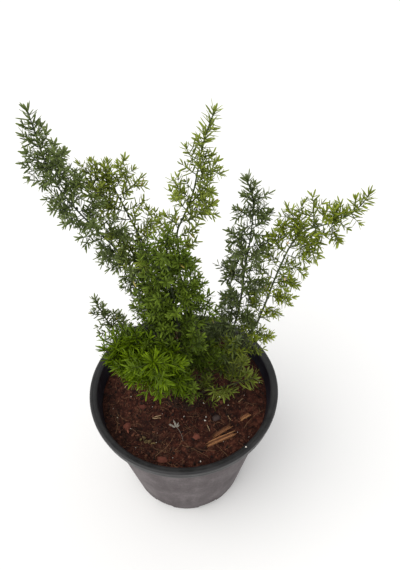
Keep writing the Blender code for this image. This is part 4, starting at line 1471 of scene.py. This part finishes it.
# Each wood chip's CAD node, number of slivers and seed
WOOD_CHIPS = [("long_wood_chip", 6, 81), ("broken_wood_chip", 5, 83), ("small_wood_chip", 4, 85)]


def make_wood_chip(node, slivers, seed):
    """A splintered chip: long slivers side by side, each with its own ragged ends."""
    chance = random.Random(seed)
    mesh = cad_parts[node].data
    corners = np.array([vertex.co for vertex in mesh.vertices])
    middle = (corners.min(0) + corners.max(0)) / 2.0
    flat = corners[:, :2] - middle[:2]
    axes = np.linalg.eigh(np.cov(flat.T))[1]
    heading = axes[:, 1] * (1.0 if axes[0, 1] > 0 else -1.0)
    across = np.array([-heading[1], heading[0]])
    length = 2.0 * float(np.abs(flat @ heading).max())
    width = 2.0 * float(np.abs(flat @ across).max())
    thickness = float(corners[:, 2].max() - corners[:, 2].min())
    turn = Matrix.Rotation(math.atan2(heading[1], heading[0]), 4, "Z")
    bundle = Bundle()
    for index in range(slivers):
        bm = bmesh.new()
        bmesh.ops.create_cube(bm, size=1.0)
        for cut in range(-8, 9):
            sliced(bm, (cut / 18, 0, 0), (1, 0, 0))
        start = chance.uniform(0.0, 0.16) if index % 2 else chance.uniform(0.0, 0.05)
        end = chance.uniform(0.80, 1.0)
        share = (index + 0.5) / slivers - 0.5
        for vertex in bm.verts:
            along = vertex.co.x + 0.5
            ends = min(1.0, 5.0 * min(along, 1.0 - along) + chance.uniform(0.25, 0.45))
            wander = 0.16 * noise.noise(Vector((along * 7.0, seed + index, 0.0)))
            vertex.co.y = (vertex.co.y * (0.93 * ends) / slivers + share + wander / slivers) * width
            lift = 0.16 * noise.noise(Vector((along * 6.0, index * 3.1, vertex.co.y * 900.0)))
            vertex.co.z = (vertex.co.z * ends * 0.9 + lift) * thickness
            vertex.co.x = (start + (end - start) * along - 0.5) * length
        edges = [edge for edge in bm.edges if edge.calc_face_angle(0.0) > math.radians(50.0)]
        rounded(bm, edges, 0.16 * MM, 1, True)
        uv = bm.loops.layers.uv.new("UVMap")
        for face in bm.faces:
            for loop in face.loops:
                place = loop.vert.co
                loop[uv].uv = (place.x / length, (place.y + place.z) / width + 0.37 * index)
        outwards(bm)
        bundle.add_once(Blank("sliver", bm), chance.random(), Matrix.Translation(middle) @ turn)
    finish_piece(node + "_split", bundle.bm, [WOOD], [node], 40.0)


def make_rootstock():
    """The crown that the stems rise from: a low knobbly mound with dry bud scales."""
    chance = random.Random(71)
    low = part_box("rootstock")[0]
    rings = 26
    top = [(ROOTSTOCK_RADIUS * ring / rings, ROOTSTOCK_TOP) for ring in range(rings + 1)]
    bm = turned([*top, (ROOTSTOCK_RADIUS, low.z), (0.0, low.z)], 96)
    for vertex in bm.verts:
        if vertex.co.z > low.z + MM:
            share = vertex.co.xy.length / ROOTSTOCK_RADIUS
            knobs = noise.fractal(vertex.co * 160.0, 0.8, 2.1, 3)
            drop = MOUND_DROP * share**4
            vertex.co.z += knobs * 1.3 * MM - drop - 0.5 * MM
    bundle = Bundle()
    bundle.bm.free()
    bundle.bm = bm
    scales = [needle_blank(curve) for curve in (0.3, 0.8)]
    for _ in range(SCALE_COUNT):
        radius = chance.uniform(2.0, 20.0) * MM
        bearing = chance.uniform(0.0, math.tau)
        place = Vector((radius * math.cos(bearing), radius * math.sin(bearing), 0.0))
        place.z = ROOTSTOCK_TOP - 1.2 * MM
        lean = around(UP, chance.uniform(0, math.tau), chance.uniform(0.2, 1.0))
        size = Matrix.Diagonal((2.4 * MM, 2.4 * MM, chance.uniform(3.0, 6.5) * MM, 1.0))
        turn = lean.to_track_quat("Z", "Y").to_matrix().to_4x4()
        matrix = Matrix.Translation(place) @ turn @ size
        bundle.add_turned(chance.choice(scales), matrix, chance.random())
    finish_piece("rootstock_crown", bundle.bm, [ROOT_BARK], ["rootstock"], 50.0)


# Stage, light and camera


def make_stage():
    """A plain pale floor."""
    bm = bmesh.new()
    bmesh.ops.create_grid(bm, x_segments=1, y_segments=1, size=FLOOR_SIZE)
    mesh = bpy.data.meshes.new("floor")
    bm.to_mesh(mesh)
    bm.free()
    floor = bpy.data.objects.new("floor", mesh)
    bpy.context.scene.collection.objects.link(floor)
    material, _, shader = new_finish("floor", 0.9, 0.1)
    shader.inputs["Base Color"].default_value = (FLOOR_GREY, FLOOR_GREY, FLOOR_GREY, 1.0)
    mesh.materials.append(material)


def add_light(name, place, strength, colour):
    """A broad distant light that faces the plant, so that its shadows are soft."""
    data = bpy.data.lights.new(name, "SUN")
    data.angle = SUN_WIDTH
    data.energy = strength
    data.color = colour
    light = bpy.data.objects.new(name, data)
    light.location = place
    aim = Vector((0.0, 0.0, 0.18)) - light.location
    light.rotation_euler = aim.to_track_quat("-Z", "Y").to_euler()
    bpy.context.scene.collection.objects.link(light)


def make_lights():
    """An even white room, and one broad key light from the front left."""
    world = bpy.data.worlds.new("soft_room")
    bpy.context.scene.world = world
    world.use_nodes = True
    tree = world.node_tree
    backdrop = tree.nodes["Background"]
    backdrop.inputs["Color"].default_value = (1.0, 1.0, 1.0, 1.0)
    rays = tree.nodes.new("ShaderNodeLightPath")
    strength = tree.nodes.new("ShaderNodeMath")
    strength.operation = "MULTIPLY_ADD"
    strength.inputs[1].default_value = ROOM_SEEN - ROOM_LIGHT
    strength.inputs[2].default_value = ROOM_LIGHT
    tree.links.new(rays.outputs["Is Camera Ray"], strength.inputs[0])
    tree.links.new(strength.outputs[0], backdrop.inputs["Strength"])
    add_light("key", (-0.9, -0.6, 1.5), 1.85, (1.0, 0.985, 0.95))


def make_camera():
    """The camera looks down at 44 degrees from in front, turned very slightly."""
    data = bpy.data.cameras.new("camera")
    data.sensor_width = 36.0
    data.lens = CAMERA_LENS
    data.clip_start = 0.01
    camera = bpy.data.objects.new("camera", data)
    ahead = Vector((0.0, math.cos(CAMERA_PITCH), -math.sin(CAMERA_PITCH)))
    above = ACROSS.cross(ahead)
    right = ACROSS * math.cos(CAMERA_ROLL) + above * math.sin(CAMERA_ROLL)
    top = above * math.cos(CAMERA_ROLL) - ACROSS * math.sin(CAMERA_ROLL)
    matrix = Matrix((right, top, -ahead)).transposed().to_4x4()
    matrix.translation = CAMERA_PLACE
    camera.matrix_world = matrix
    bpy.context.scene.collection.objects.link(camera)
    bpy.context.scene.camera = camera
    bpy.context.scene.view_settings.view_transform = "Standard"


make_camera()
make_stage()
make_lights()
make_pot()
make_soil()
make_crumbs()
make_fibres()
make_bark_and_stone()
make_perlite()
make_straws()
make_dry_sprig()
for chip, slivers, seed in WOOD_CHIPS:
    make_wood_chip(chip, slivers, seed)
make_rootstock()
grow_plant()
